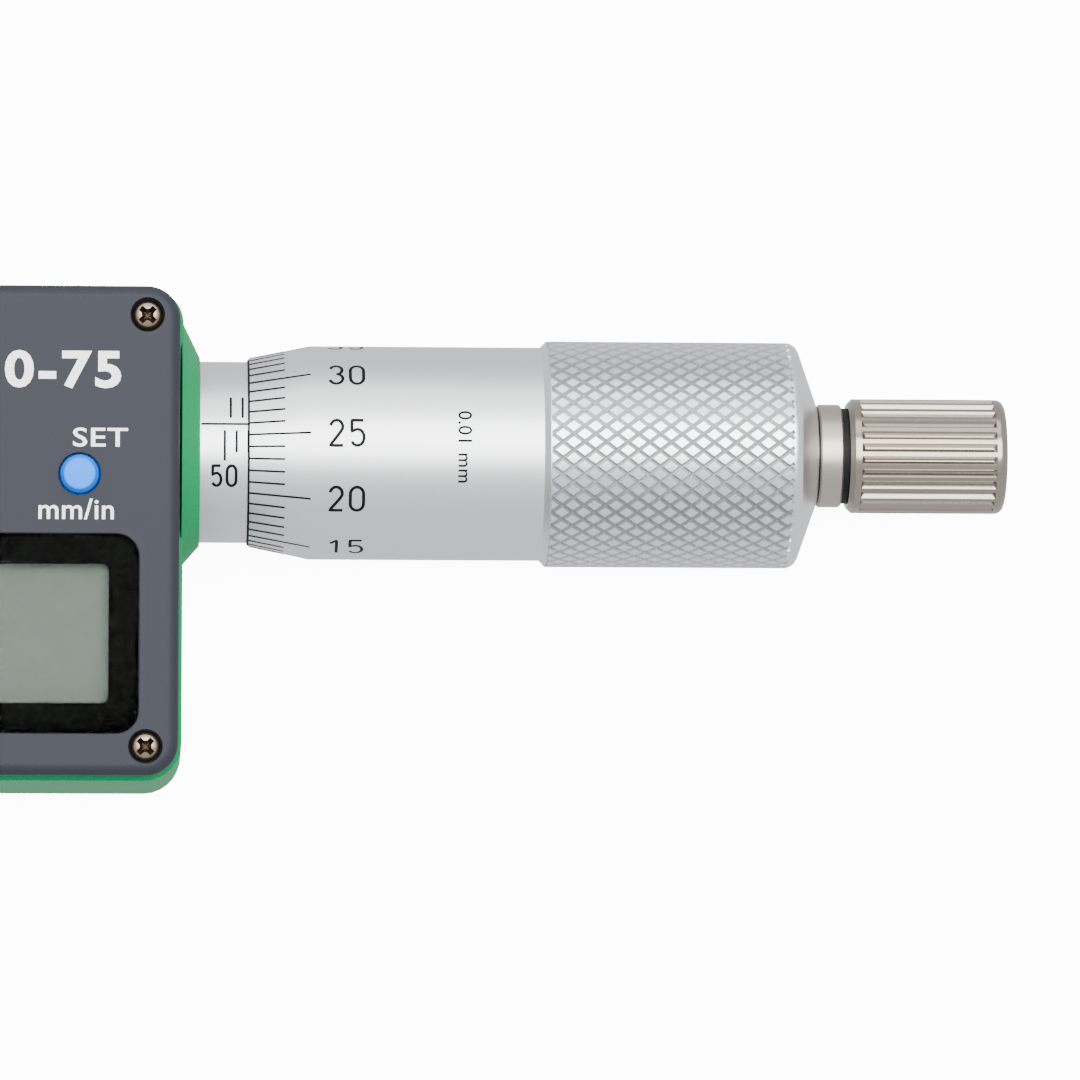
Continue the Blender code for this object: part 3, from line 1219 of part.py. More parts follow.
def make_screws():
    """The cover, grip plate and battery cover screws; each kind shares one mesh."""
    kinds = {
        "cover_screw": (COVER_SCREW_HEAD_R, COVER_SCREW_HEAD_HEIGHT, COVER_SCREW_R),
        "plate_screw": (PLATE_SCREW_HEAD_R, PLATE_SCREW_HEAD_HEIGHT, PLATE_SCREW_R),
        "battery_cover_screw": (LID_SCREW_HEAD_R, LID_SCREW_HEAD_HEIGHT, LID_SCREW_R),
    }
    cover_seat = COVER_FACE_Z - COVER_SCREW_SINK - COVER_SCREW_HEAD_HEIGHT
    plate_face = WEB_HALF + SEAT_GAP + PLATE_THICKNESS
    plate_seat = plate_face - PLATE_SCREW_SINK - PLATE_SCREW_HEAD_HEIGHT
    lid_seat = BASE_BACK_Z + LID_SINK + LID_SCREW_HEAD_HEIGHT + SOFT_GAP
    grips = {
        "cover_screw": cover_seat - COVER_Z + COVER_SCREW_GRIP,
        "plate_screw": plate_seat - WEB_HALF + PLATE_SCREW_GRIP,
        "battery_cover_screw": LID_SEAT_Z - lid_seat + LID_SCREW_GRIP,
    }
    seats = [("cover_screw", i, x, y, cover_seat, False) for i, (x, y) in enumerate(cover_screw_places())]
    for i, (x, y) in enumerate(plate_screw_places()):
        seats.append(("plate_screw", 2 * i, x, y, plate_seat, False))
        seats.append(("plate_screw", 2 * i + 1, x, y, -plate_seat, True))
    seats += [("battery_cover_screw", i, x, y, lid_seat, True) for i, (x, y) in enumerate(lid_screw_places())]
    shapes = {
        kind: screw_shape(kind + "_shape", head_r, height, shank_r, grips[kind])
        for kind, (head_r, height, shank_r) in kinds.items()
    }
    for kind, i, x, y, seat, backwards in seats:
        screw = link_mesh(f"{kind}_{i + 1}", shapes[kind].copy(), (x, y, seat))
        if backwards:
            screw.rotation_euler.x = math.pi
        piece(screw, SCREW_STEEL)


def make_battery():
    """The button cell, its contact, the seal ring and the screwed battery cover."""
    centre = (COVER_CENTRE_X, CELL_Y)
    rim = CELL_RIM
    cell = [
        (CELL_Z, 0.0), (CELL_Z, CELL_R - rim), (CELL_Z + rim, CELL_R), (CELL_TOP_Z - rim, CELL_R),
        (CELL_TOP_Z - rim, CELL_R - 2 * rim), (CELL_TOP_Z, CELL_R - 2 * rim), (CELL_TOP_Z, 0.0),
    ]
    piece(turned("button_cell", cell, "Z", centre, SMALL_SEGMENTS), BRIGHT_STEEL)
    half = CONTACT_WIDTH / 2
    reach = CELL_R - rim
    strip = rectangle(centre[0] - reach, CELL_Y - half, centre[0] + reach, CELL_Y + half, half / 2)
    piece(plate("battery_contact", [strip], CONTACT_Z, CONTACT_Z + CONTACT_THICKNESS), GOLD_CONTACT)
    inner = LID_SEAL_R + ROUND_GAP
    outer = inner + LID_SEAL_WALL
    low = LID_SEAT_Z - SOFT_GAP
    high = LID_SEAT_Z + LID_SEAL_DEPTH - ROUND_GAP
    piece(ring("battery_seal", low, high, outer, inner, "Z", centre), GREY_RUBBER)
    lid = plate("battery_cover", [lid_outline()], BASE_BACK_Z + LID_SINK, LID_TOP_Z)
    bottom = BASE_BACK_Z - OVERCUT
    seat = BASE_BACK_Z + LID_SINK + LID_SCREW_HEAD_HEIGHT + SOFT_GAP + ROUND_GAP
    top = LID_TOP_Z + OVERCUT
    head_r = LID_SCREW_HEAD_R + ROUND_GAP
    shank_r = LID_SCREW_R + ROUND_GAP
    for i, place in enumerate(lid_screw_places()):
        steps = [(bottom, seat, head_r), (seat, top, shank_r)]
        combine(lid, stepped(f"lid_screw_hole_{i}", steps, "Z", place, SCREW_SEGMENTS))
    piece(lid, BLACK_PLASTIC)


def make_grip_plates():
    """The heat-insulating plates on both sides of the bow."""
    outer_r = OUTER_R - PLATE_INSET
    inner_r = THROAT_R + PLATE_INSET
    outer = arc((OUTER_CENTRE_X, THROAT_CENTRE_Y), outer_r, PLATE_START_DEG, PLATE_END_DEG)
    inner = arc((THROAT_CENTRE_X, THROAT_CENTRE_Y), inner_r, PLATE_END_DEG, PLATE_START_DEG)
    low = WEB_HALF + SEAT_GAP
    high = low + PLATE_THICKNESS
    seat = high - PLATE_SCREW_SINK - PLATE_SCREW_HEAD_HEIGHT - ROUND_GAP
    head_r = PLATE_SCREW_HEAD_R + ROUND_GAP
    shank_r = PLATE_SCREW_R + ROUND_GAP
    for side, sign in {"front": 1, "rear": -1}.items():
        bottom, top = sorted((sign * low, sign * high))
        shape = plate(f"{side}_grip_plate", [outer + inner], bottom, top)
        round_rim(shape, sign * high, PLATE_EDGE_R, 2)
        for i, place in enumerate(plate_screw_places()):
            steps = [(low - OVERCUT, seat, shank_r), (seat, high + OVERCUT, head_r)]
            steps = [(sign * start, sign * end, radius) for start, end, radius in steps]
            combine(shape, stepped(f"{side}_plate_hole_{i}", steps, "Z", place, SCREW_SEGMENTS))
        piece(shape, BLACK_PLASTIC)


def make_lock(lock_joint):
    """The spindle lock: a lever whose stem crosses the frame below the spindle, and its clip."""
    centre = (LOCK_X, LOCK_Y)
    hub_z = BASE_TOP_Z + SEAT_GAP
    hub_top = hub_z + LOCK_HUB_HEIGHT
    clip_top = BASE_BACK_Z + LOCK_POCKET_DEPTH - SEAT_GAP
    clip_low = clip_top - CLIP_THICKNESS
    groove_top = clip_top + ROUND_GAP / 2
    groove_low = clip_low - ROUND_GAP
    stem_low = groove_low - CLIP_THICKNESS * 2
    neck_r = LOCK_STEM_R - CLIP_GROOVE_DEPTH
    edge = LOCK_EDGE
    lever = turned(
        "lock_lever",
        [(stem_low, 0.0), (stem_low, LOCK_STEM_R), (groove_low, LOCK_STEM_R), (groove_low, neck_r),
         (groove_top, neck_r), (groove_top, LOCK_STEM_R), (hub_z, LOCK_STEM_R), (hub_z, LOCK_HUB_R),
         (hub_top - edge, LOCK_HUB_R), (hub_top, LOCK_HUB_R - edge), (hub_top, 0.0)],
        "Z",
        centre,
        SMALL_SEGMENTS,
    )
    reach = LOCK_ARM_LENGTH - LOCK_TIP_R
    lean = math.degrees(math.asin((LOCK_ROOT_R - LOCK_TIP_R) / reach))
    tip = arc((reach, 0.0), LOCK_TIP_R, -90.0 + lean, 90.0 - lean, SMALL_ARC_STEP_DEG)
    root = arc((0.0, 0.0), LOCK_ROOT_R, 90.0 - lean, 270.0 + lean, SMALL_ARC_STEP_DEG)
    arm = plate("lock_arm", [tip + root], hub_z, hub_z + LOCK_ARM_HEIGHT)
    round_rim(arm, hub_z + LOCK_ARM_HEIGHT, edge, 1)
    arm.location = (*centre, 0.0)
    arm.rotation_euler.z = math.radians(LOCK_REST_DEG)
    combine(lever, arm, "UNION")
    piece(lever, BRIGHT_STEEL, lock_joint)
    bore = neck_r + ROUND_GAP / 2
    rim = arc((0.0, 0.0), CLIP_R, CLIP_END_DEG, 360.0 - CLIP_END_DEG, SMALL_ARC_STEP_DEG)
    gap = math.degrees(math.asin(CLIP_MOUTH / 2 / bore))
    hole = arc((0.0, 0.0), bore, 360.0 - gap, gap, SMALL_ARC_STEP_DEG)
    clip = plate("lock_clip", [rim + hole], clip_low, clip_top)
    clip.location = (*centre, 0.0)
    piece(clip, SPRING_STEEL, lock_joint)


def make_micrometer():
    """Build every piece, with the moving ones under empties on their joint axes."""
    make_frame()
    make_anvil()
    make_spindle_guides()
    make_outer_sleeve()
    rotor_joint = joint_marker("screw_axis", (ROTOR_X, 0.0, 0.0))
    spindle_joint = joint_marker("spindle_axis", (READING, 0.0, 0.0), rotor_joint)
    knob_joint = joint_marker("knob_axis", (KNOB_X, 0.0, 0.0), spindle_joint)
    make_encoder(rotor_joint)
    make_spindle(spindle_joint)
    make_thimble(spindle_joint)
    make_ratchet(spindle_joint, knob_joint)
    make_cover()
    make_display()
    places = button_places().items()
    make_buttons({name: joint_marker(name + "_axis", (*at, COVER_FACE_Z)) for name, at in places})
    make_screws()
    make_battery()
    make_grip_plates()
    make_lock(joint_marker("lock_axis", (LOCK_X, LOCK_Y, 0.0)))


clear_scene()
PARTS = new_collection("digital_outside_micrometer")
CUTTERS = new_collection("cutters")
make_micrometer()
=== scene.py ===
"""Looks of a digital outside micrometer: fine surfaces, scales, labels and finishes over the frame."""

import logging
import math
from collections.abc import Callable
from dataclasses import dataclass
from enum import Enum

import bmesh
import bpy
from mathutils import Matrix, Vector


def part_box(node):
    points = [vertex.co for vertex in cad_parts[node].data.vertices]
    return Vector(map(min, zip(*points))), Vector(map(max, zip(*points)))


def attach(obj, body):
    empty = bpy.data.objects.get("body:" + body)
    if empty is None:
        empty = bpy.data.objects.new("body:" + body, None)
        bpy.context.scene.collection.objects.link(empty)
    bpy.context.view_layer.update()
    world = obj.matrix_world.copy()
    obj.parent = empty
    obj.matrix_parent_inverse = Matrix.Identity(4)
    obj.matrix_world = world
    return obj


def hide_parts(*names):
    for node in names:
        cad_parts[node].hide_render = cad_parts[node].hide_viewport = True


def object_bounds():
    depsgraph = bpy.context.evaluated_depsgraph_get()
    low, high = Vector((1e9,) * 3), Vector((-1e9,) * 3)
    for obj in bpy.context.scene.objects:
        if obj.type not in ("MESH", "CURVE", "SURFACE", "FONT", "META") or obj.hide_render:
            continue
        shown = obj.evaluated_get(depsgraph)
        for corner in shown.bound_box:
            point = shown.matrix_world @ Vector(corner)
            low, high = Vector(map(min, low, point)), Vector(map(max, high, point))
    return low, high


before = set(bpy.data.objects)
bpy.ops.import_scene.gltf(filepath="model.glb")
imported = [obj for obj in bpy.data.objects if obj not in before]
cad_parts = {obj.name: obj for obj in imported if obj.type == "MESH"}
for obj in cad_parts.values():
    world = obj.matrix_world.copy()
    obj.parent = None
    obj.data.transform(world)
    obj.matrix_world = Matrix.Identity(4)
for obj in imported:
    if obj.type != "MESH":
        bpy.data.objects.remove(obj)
CAD_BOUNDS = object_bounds()

Shape = bmesh.types.BMesh
Point = tuple[float, float]
Outline = list[Point]

MM = 0.001
TAU = math.tau
# Degrees from the middle of the sleeve's front up to its index line
INDEX_DEG = 15.75
# Points closer than this are one
WELD = 0.0005 * MM
# How many times longer than wide a turned or ground surface's streaks are
TURNED_STREAK = 60
GROUND_STREAK = 40
# What lies this close to the outer radius belongs to the outer surface
SKIN = 0.001 * MM
# Corners of a knurl's face whose heights differ less than this are level
LEVEL = 0.0001 * MM
# Extra room between letters, as a multiple of how much their strokes are thickened
LETTER_ROOM = 5.0
# Points of a letter closer than this share of the type size are one
LETTER_WELD = 1e-5
LOG = logging.getLogger("micrometer")

FRAME_BODY = "frame_assembly"
SPINDLE_BODY = "spindle_assembly"
KNOB_BODY = "knob_assembly"
SIDES = ("left", "right")


class Pattern(Enum):
    """How a finish's surface was made."""

    PLAIN = "plain"
    GRAIN = "grain"
    ORANGE_PEEL = "orange peel"
    TURNED = "turned"
    GROUND = "ground"


def linear_colour(hex_colour: str) -> tuple[float, float, float, float]:
    """Turn an sRGB hex colour into linear values.

    Args:
        hex_colour: Six hex digits, without a leading sign.

    Returns:
        Red, green, blue and alpha.
    """
    channels = [int(hex_colour[i:i + 2], 16) / 255 for i in (0, 2, 4)]
    made = [c / 12.92 if c <= 0.04045 else ((c + 0.055) / 1.055) ** 2.4 for c in channels]
    return (made[0], made[1], made[2], 1.0)


def add_node(tree: bpy.types.NodeTree, kind: str, settings: dict, links: dict) -> bpy.types.Node:
    """Add a shader node with its settings and incoming links.

    Args:
        tree: The material's node tree.
        kind: The node's type name.
        settings: Attribute names, or input names, and their values.
        links: Input names and the output sockets that feed them.

    Returns:
        The new node.
    """
    node = tree.nodes.new(kind)
    for key, value in settings.items():
        if key in node.inputs:
            node.inputs[key].default_value = value
        else:
            setattr(node, key, value)
    for key, socket in links.items():
        tree.links.new(socket, node.inputs[key])
    return node


@dataclass(frozen=True)
class Finish:
    """A finish as its maker would name it, with the texture that its making leaves."""

    name: str
    colour: str
    roughness: float
    metallic: float = 0.0
    pattern: Pattern = Pattern.GRAIN
    pattern_mm: float = 0.5
    bump_mm: float = 0.0
    roughness_spread: float = 0.0
    specular: float = 0.5
    transmission: float = 0.0
    glow: float = 0.0
    ior: float = 1.5

    def material(self) -> bpy.types.Material:
        """Make the material, or return the one made before.

        Returns:
            The finish's material.
        """
        known = bpy.data.materials.get(self.name)
        if known:
            return known
        made = bpy.data.materials.new(self.name)
        made.use_nodes = True
        tree = made.node_tree
        shader = tree.nodes["Principled BSDF"]
        colour = linear_colour(self.colour)
        sockets = {"Base Color": colour, "Roughness": self.roughness, "Metallic": self.metallic,
                   "Specular IOR Level": self.specular, "Transmission Weight": self.transmission}
        if not self.metallic:
            sockets["IOR"] = self.ior
        if self.glow:
            sockets |= {"Emission Color": colour, "Emission Strength": self.glow}
        for name, value in sockets.items():
            shader.inputs[name].default_value = value
        if self.pattern is not Pattern.PLAIN:
            self.texture(tree, shader)
        return made

    def stretch(self) -> tuple[float, float, float]:
        """Give the pattern's scale along each axis, in cycles a metre.

        Returns:
            Scales for X, Y and Z.
        """
        fine = 1.0 / (self.pattern_mm * MM)
        if self.pattern is Pattern.TURNED:
            return (fine, fine / TURNED_STREAK, fine / TURNED_STREAK)
        if self.pattern is Pattern.GROUND:
            return (fine / GROUND_STREAK, fine, fine)
        return (fine, fine, fine)

    def texture(self, tree: bpy.types.NodeTree, shader: bpy.types.Node) -> None:
        """Add the pattern's roughness variation and relief.

        Args:
            tree: The material's node tree.
            shader: Its Principled BSDF.
        """
        place = add_node(tree, "ShaderNodeTexCoord", {}, {})
        scaled = add_node(tree, "ShaderNodeMapping", {"Scale": self.stretch()},
                          {"Vector": place.outputs["Object"]})
        noise = add_node(tree, "ShaderNodeTexNoise", {"Scale": 1.0, "Detail": 3.0},
                         {"Vector": scaled.outputs["Vector"]})
        if self.roughness_spread:
            low = self.roughness - self.roughness_spread
            high = self.roughness + self.roughness_spread
            spread = add_node(tree, "ShaderNodeMapRange", {"To Min": low, "To Max": high},
                              {"Value": noise.outputs["Fac"]})
            tree.links.new(spread.outputs["Result"], shader.inputs["Roughness"])
        if self.bump_mm:
            relief = add_node(tree, "ShaderNodeBump", {"Distance": self.bump_mm * MM, "Strength": 1.0},
                              {"Height": noise.outputs["Fac"]})
            tree.links.new(relief.outputs["Normal"], shader.inputs["Normal"])


# Sprayed enamel on a casting: glossy, with a slight orange peel
ENAMEL = Finish("sprayed_green_enamel", "00874F", 0.42, pattern=Pattern.ORANGE_PEEL, pattern_mm=0.8,
                bump_mm=0.004, roughness_spread=0.04, specular=0.05)
# Moulded ABS with a fine spark-eroded grain, which spreads highlights to a dull sheen
MOULDED_ABS = Finish("moulded_grey_abs", "282A31", 0.5, pattern_mm=0.12,
                     bump_mm=0.006, roughness_spread=0.05, specular=0.15)
# Moulded heat-insulating plastic of the grip plates and battery cover
MOULDED_BLACK = Finish("moulded_black_abs", "1E1F21", 0.5, pattern_mm=0.2,
                       bump_mm=0.01, roughness_spread=0.05)
# Satin moulded key caps, strongly coloured right through
KEY_BLUE = Finish("moulded_blue_key", "0880FF", 0.38, pattern_mm=0.1,
                  bump_mm=0.003, roughness_spread=0.04, specular=0.08)
# White moulded holder of the display: an even, dull white
WHITE_MOULDING = Finish("moulded_white_abs", "E6E6E0", 0.45, pattern_mm=0.1, bump_mm=0.003)
# Silicone rubber: no gloss
RUBBER = Finish("silicone_rubber", "434447", 0.8, pattern_mm=0.15, bump_mm=0.006, roughness_spread=0.06)
# Reflective display seen through its polariser
LCD = Finish("reflective_lcd", "505B51", 0.32, pattern_mm=0.08, bump_mm=0.001,
             roughness_spread=0.03, specular=0.1)
# Back-printed black border of the window
BLACK_PRINT = Finish("black_window_print", "040405", 0.5, pattern_mm=0.3, roughness_spread=0.03, specular=0.0)
# Anti-reflection coated acrylic, so its index is set lower than the bare plastic's
WINDOW = Finish("coated_clear_acrylic", "FFFFFF", 0.02, pattern=Pattern.PLAIN, transmission=1.0, ior=1.05)
# Glass laminate under solder mask: an even green with a slight gloss
LAMINATE = Finish("solder_masked_laminate", "1F6B43", 0.4, pattern_mm=0.3,
                  bump_mm=0.004, roughness_spread=0.06)
# The numbers of a metal: roughness, metallic, pattern, its size and relief in millimetres, roughness spread
# Satin chrome over a fine turned surface: soft streaks round the axis
SATIN_CHROME = Finish("satin_chrome_plate", "DEDFE1", 0.4, 1.0, Pattern.TURNED, 0.12, 0.0006, 0.04)
# The same plate on the knurl's crests, a little lighter than on the barrel: painted highlight on the crests
KNURL_CHROME_LIT = Finish("satin_chrome_knurl_painted_highlight", "E4E5E7", 0.3, 1.0, Pattern.GRAIN, 0.15, 0.0006, 0.05)
# The grooves get a darker copy of the plate: painted shade, which draws darker lines round the bright plates
KNURL_GROOVE_SHADE = Finish("knurl_groove_painted_shade", "CACBCE", 0.32, 1.0, Pattern.GRAIN, 0.15, 0.0006, 0.05)
# Bright turned steel of the ratchet knob, warmer and more mirror-like than the chrome
TURNED_STEEL = Finish("bright_turned_steel", "999086", 0.2, 1.0, Pattern.TURNED, 0.1, 0.0002, 0.03)
# The neck beside it is left as turned, so its highlight is softer
SATIN_STEEL = Finish("satin_turned_steel", "AFA79D", 0.36, 1.0, Pattern.TURNED, 0.1, 0.0003, 0.04)
# Ground and hardened tool steel of the spindle and anvil, with fine lines along the axis
GROUND_STEEL = Finish("ground_tool_steel", "C6C8C9", 0.22, 1.0, Pattern.GROUND, 0.1, 0.0008, 0.05)
# Lapped carbide of the tips: darker than steel, and smooth as a mirror
CARBIDE = Finish("lapped_carbide", "8E8F91", 0.2, 1.0, Pattern.GRAIN, 0.05, 0.0004, 0.03)
# Nickel plated screws, warm and slightly tarnished
SCREW_NICKEL = Finish("nickel_plated_screw", "93826E", 0.28, 1.0, Pattern.GRAIN, 0.25, 0.0008, 0.05)
# Painted shade in the cross: a darker brown copy of the plating, which makes the recess read dark
SCREW_RECESS_SHADE = Finish("screw_recess_painted_shade", "5A4C3F", 0.5, 1.0, Pattern.GRAIN, 0.2, 0.001, 0.05)
# Drawn wire: bright, with soft highlights
SPRING_WIRE = Finish("drawn_spring_wire", "B9B9B9", 0.3, 1.0, Pattern.GRAIN, 0.1, 0.001, 0.05)
# Gold over spring bronze, which gives the contact a warm shine
GOLD_PLATE = Finish("gold_plated_bronze", "E8C884", 0.25, 1.0, Pattern.GRAIN, 0.2, 0.001, 0.05)
# Painted shadow: black for the shaded gaps at the thimble's thin edge and between the ratchet's neck and knob
GAP_SHADOW = Finish("painted_gap_shadow", "0C0C0D", 0.6, pattern_mm=0.1,
                      roughness_spread=0.05, specular=0.2)
# Black filling of the engraved scales: matt, so it stays dark under the lights
SCALE_BLACK = Finish("scale_filling_black", "0A0A0B", 0.5, pattern_mm=0.05,
                     roughness_spread=0.05, specular=0.1)
# White pad print of the labels, flat and dull
LABEL_WHITE = Finish("pad_print_white", "FFFFFF", 0.5, pattern_mm=0.05, roughness_spread=0.05)
# Opal acrylic of the light table that the micrometer lies on
LIGHT_TABLE = Finish("opal_light_table", "F7F7F7", 0.9, pattern_mm=2.0, roughness_spread=0.02, glow=12.0)

# The nodes that show their CAD solids
NODE_FINISHES: dict[Finish, tuple[str, ...]] = {
    ENAMEL: ("frame",),
    GROUND_STEEL: ("anvil", "spindle", "spindle_bush", "inner_sleeve", "adjusting_nut", "encoder_rotor",
                   "ratchet_wheel", "ratchet_pawl"),
    CARBIDE: ("anvil_tip", "spindle_tip"),
    RUBBER: ("spindle_seal", "cover_seal", "battery_seal", "display_connector", "key_pad"),
    LAMINATE: ("encoder_stator", "circuit_board"),
    SPRING_WIRE: ("rotor_spring", "lock_clip", "ratchet_spring"),
    WHITE_MOULDING: ("display_holder",),
    LCD: ("lcd_panel",),
    TURNED_STEEL: ("button_cell", "lock_lever"),
    GOLD_PLATE: ("battery_contact",),
    MOULDED_BLACK: ("battery_cover", "front_grip_plate", "rear_grip_plate"),
    SCREW_NICKEL: ("ratchet_screw",),
}


def finish_piece(name: str, bm: Shape, finish: Finish, body: str, smooth_deg: float = 30.0,
                 nodes: tuple[str, ...] = (), flat_faces: bool = False,
                 second: Finish | None = None) -> bpy.types.Object:
    """Make an object of a bmesh, dress it and let it ride on its body.

    Args:
        name: The piece's name.
        bm: Its shape in metres, which is freed.
        finish: Its finish.
        body: The moving body that it rides on.
        smooth_deg: Edges sharper than this stay sharp.
        nodes: The CAD nodes that it stands for.
        flat_faces: Keep its large flat faces flat beside their roundings.
        second: Finish of the faces that have material index 1.

    Returns:
        The object.
    """
    bmesh.ops.remove_doubles(bm, verts=bm.verts, dist=WELD)
    bmesh.ops.recalc_face_normals(bm, faces=bm.faces)
    mesh = bpy.data.meshes.new(name)
    bm.to_mesh(mesh)
    bm.free()
    mesh.materials.append(finish.material())
    if second:
        mesh.materials.append(second.material())
    mesh.shade_smooth()
    mesh.set_sharp_from_angle(angle=math.radians(smooth_deg))
    made = bpy.data.objects.new(name, mesh)
    bpy.context.scene.collection.objects.link(made)
    if flat_faces:
        weighted = made.modifiers.new("Flat faces", "WEIGHTED_NORMAL")
        weighted.weight = 100
        weighted.keep_sharp = True
    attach(made, body)
    if nodes:
        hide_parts(*nodes)
    LOG.info("%s: %d faces, %s", name, len(mesh.polygons), finish.name)
    return made


def turn_profile(profile: Outline, steps: int, centre: Vector = Vector(),
                 upright: bool = False) -> Shape:
    """Spin a profile of (along, radius) points into a closed shape.

    Args:
        profile: Points in metres. Its ends lie on the axis, or meet.
        steps: Facets round the axis.
        centre: A point on the axis.
        upright: Turn about Z instead of X.

    Returns:
        The turned shape.
    """
    bm = bmesh.new()
    ends_on_axis = profile[0][1] == 0.0 and profile[-1][1] == 0.0
    corners = [bm.verts.new((along, 0.0, radius)) for along, radius in profile]
    edges = [bm.edges.new(pair) for pair in zip(corners, corners[1:])]
    if not ends_on_axis:
        edges.append(bm.edges.new((corners[-1], corners[0])))
    bmesh.ops.spin(bm, geom=corners + edges, cent=(0, 0, 0), axis=(1, 0, 0), angle=TAU, steps=steps,
                   use_merge=True)
    bmesh.ops.remove_doubles(bm, verts=bm.verts, dist=WELD)
    bmesh.ops.recalc_face_normals(bm, faces=bm.faces)
    if upright:
        bmesh.ops.rotate(bm, verts=bm.verts, cent=(0, 0, 0), matrix=Matrix.Rotation(-math.pi / 2, 3, "Y"))
    bmesh.ops.translate(bm, verts=bm.verts, vec=centre)
    return bm


def rounded_rectangle(low: Point, high: Point, radius: float, steps: int = 12) -> Outline:
    """Points along a rectangle with round corners, anticlockwise.

    Args:
        low: Lowest corner.
        high: Highest corner.
        radius: Corner radius.
        steps: Facets in each corner.

    Returns:
        The outline's points.
    """
    centres = [
        (high[0] - radius, high[1] - radius, 0.0),
        (low[0] + radius, high[1] - radius, 90.0),
        (low[0] + radius, low[1] + radius, 180.0),
        (high[0] - radius, low[1] + radius, 270.0),
    ]
    points = []
    for x, y, start in centres:
        for i in range(steps + 1):
            angle = math.radians(start + 90.0 * i / steps)
            points.append((x + radius * math.cos(angle), y + radius * math.sin(angle)))
    return points


def corner_curve(end: Point, reach: Point, steps: int, start_deg: float = 0.0) -> Outline:
    """Points of the rounding at a turned profile's end.

    Args:
        end: Where the end and the outer surface would meet, along and out from the axis.
        reach: How far the rounding reaches, along and towards the axis.
        steps: Facets in the rounding.
        start_deg: Where it starts, 0 on the outer surface and 90 at the end.

    Returns:
        The points, from the outer surface to the end.
    """
    turns = [math.radians(start_deg + (90.0 - start_deg) * i / steps) for i in range(steps + 1)]
    return [(end[0] - reach[0] * (1.0 - math.sin(turn)), end[1] - reach[1] * (1.0 - math.cos(turn)))
            for turn in turns]


def press_in(bm: Shape, radius: float, depth_at: Callable[[float, float], float]) -> None:
    """Press a pattern into the outermost surface of a shape turned about X.

    Args:
        bm: The shape.
        radius: Its outer radius.
        depth_at: Gives the depth at a place along the axis and an angle round it.
    """
    for vertex in bm.verts:
        if math.hypot(vertex.co.y, vertex.co.z) < radius - SKIN:
            continue
        share = 1.0 - depth_at(vertex.co.x, math.atan2(vertex.co.y, vertex.co.z)) / radius
        vertex.co.y *= share
        vertex.co.z *= share


def thicken(flat: Shape, up: float, down: float = 0.0) -> None:
    """Make a flat shape solid.

    Args:
        flat: The flat shape.
        up: How far its top lies above it.
        down: How far its underside lies below it.
    """
    grown = bmesh.ops.extrude_face_region(flat, geom=flat.faces[:], use_keep_orig=True)["geom"]
    top = [item for item in grown if isinstance(item, bmesh.types.BMVert)]
    lifted = set(top)
    bottom = [vertex for vertex in flat.verts if vertex not in lifted]
    bmesh.ops.translate(flat, verts=top, vec=(0, 0, up))
    bmesh.ops.translate(flat, verts=bottom, vec=(0, 0, -down))


def move_into(whole: Shape, shape: Shape) -> None:
    """Add a shape to another.

    Args:
        whole: The shape that grows.
        shape: The shape to add, which is freed.
    """
    mesh = bpy.data.meshes.new("added")
    shape.to_mesh(mesh)
    shape.free()
    whole.from_mesh(mesh)
    bpy.data.meshes.remove(mesh)


def mesh_of(drawn: bpy.types.Object) -> bpy.types.Mesh:
    """Turn a drawn object into a mesh.

    Args:
        drawn: A curve or a text, which is removed.

    Returns:
        Its mesh.
    """
    bpy.context.scene.collection.objects.link(drawn)
    bpy.context.view_layer.update()
    graph = bpy.context.evaluated_depsgraph_get()
    mesh = bpy.data.meshes.new_from_object(drawn.evaluated_get(graph))
    bpy.data.objects.remove(drawn)
    return mesh


def slab(outline: Outline, low: float, high: float) -> Shape:
    """Extrude a flat outline upwards.

    Args:
        outline: Points of the outline.
        low: Height of its underside.
        high: Height of its top.

    Returns:
        The solid slab.
    """
    bm = bmesh.new()
    bm.faces.new([bm.verts.new((x, y, low)) for x, y in outline])
    thicken(bm, high - low)
    bmesh.ops.recalc_face_normals(bm, faces=bm.faces)
    return bm


def round_top(bm: Shape, level: float, radius: float, segments: int) -> None:
    """Round the edges that lie at one height.

    Args:
        bm: The shape.
        level: The height.
        radius: The rounding's radius.
        segments: Facets across it.
    """
    rim = [edge for edge in bm.edges if all(abs(v.co.z - level) < 0.001 * MM for v in edge.verts)]
    bmesh.ops.bevel(bm, geom=rim, offset=radius, segments=segments, profile=0.5, affect="EDGES", material=-1)


def carve(bm: Shape, cutters: list[Shape]) -> Shape:
    """Cut shapes out of another.

    Args:
        bm: The shape to cut, which is freed.
        cutters: The shapes to cut out, which are freed.

    Returns:
        What is left.
    """
    made = []
    for shape in [bm, *cutters]:
        mesh = bpy.data.meshes.new("carving")
        shape.to_mesh(mesh)
        shape.free()
        item = bpy.data.objects.new("carving", mesh)
        bpy.context.scene.collection.objects.link(item)
        made.append(item)
    for cutter in made[1:]:
        modifier = made[0].modifiers.new("Cut", "BOOLEAN")
        modifier.operation = "DIFFERENCE"
        modifier.object = cutter
    bpy.context.view_layer.update()
    graph = bpy.context.evaluated_depsgraph_get()
    result = bmesh.new()
    result.from_mesh(made[0].evaluated_get(graph).to_mesh())
    for item in made:
        mesh = item.data
        bpy.data.objects.remove(item)
        bpy.data.meshes.remove(mesh)
    return result


@dataclass(frozen=True)
class FigureSize:
    """Sizes of engraved figures, over the strokes of the cutter."""

    height: float
    width: float
    pitch: float
    stroke: float


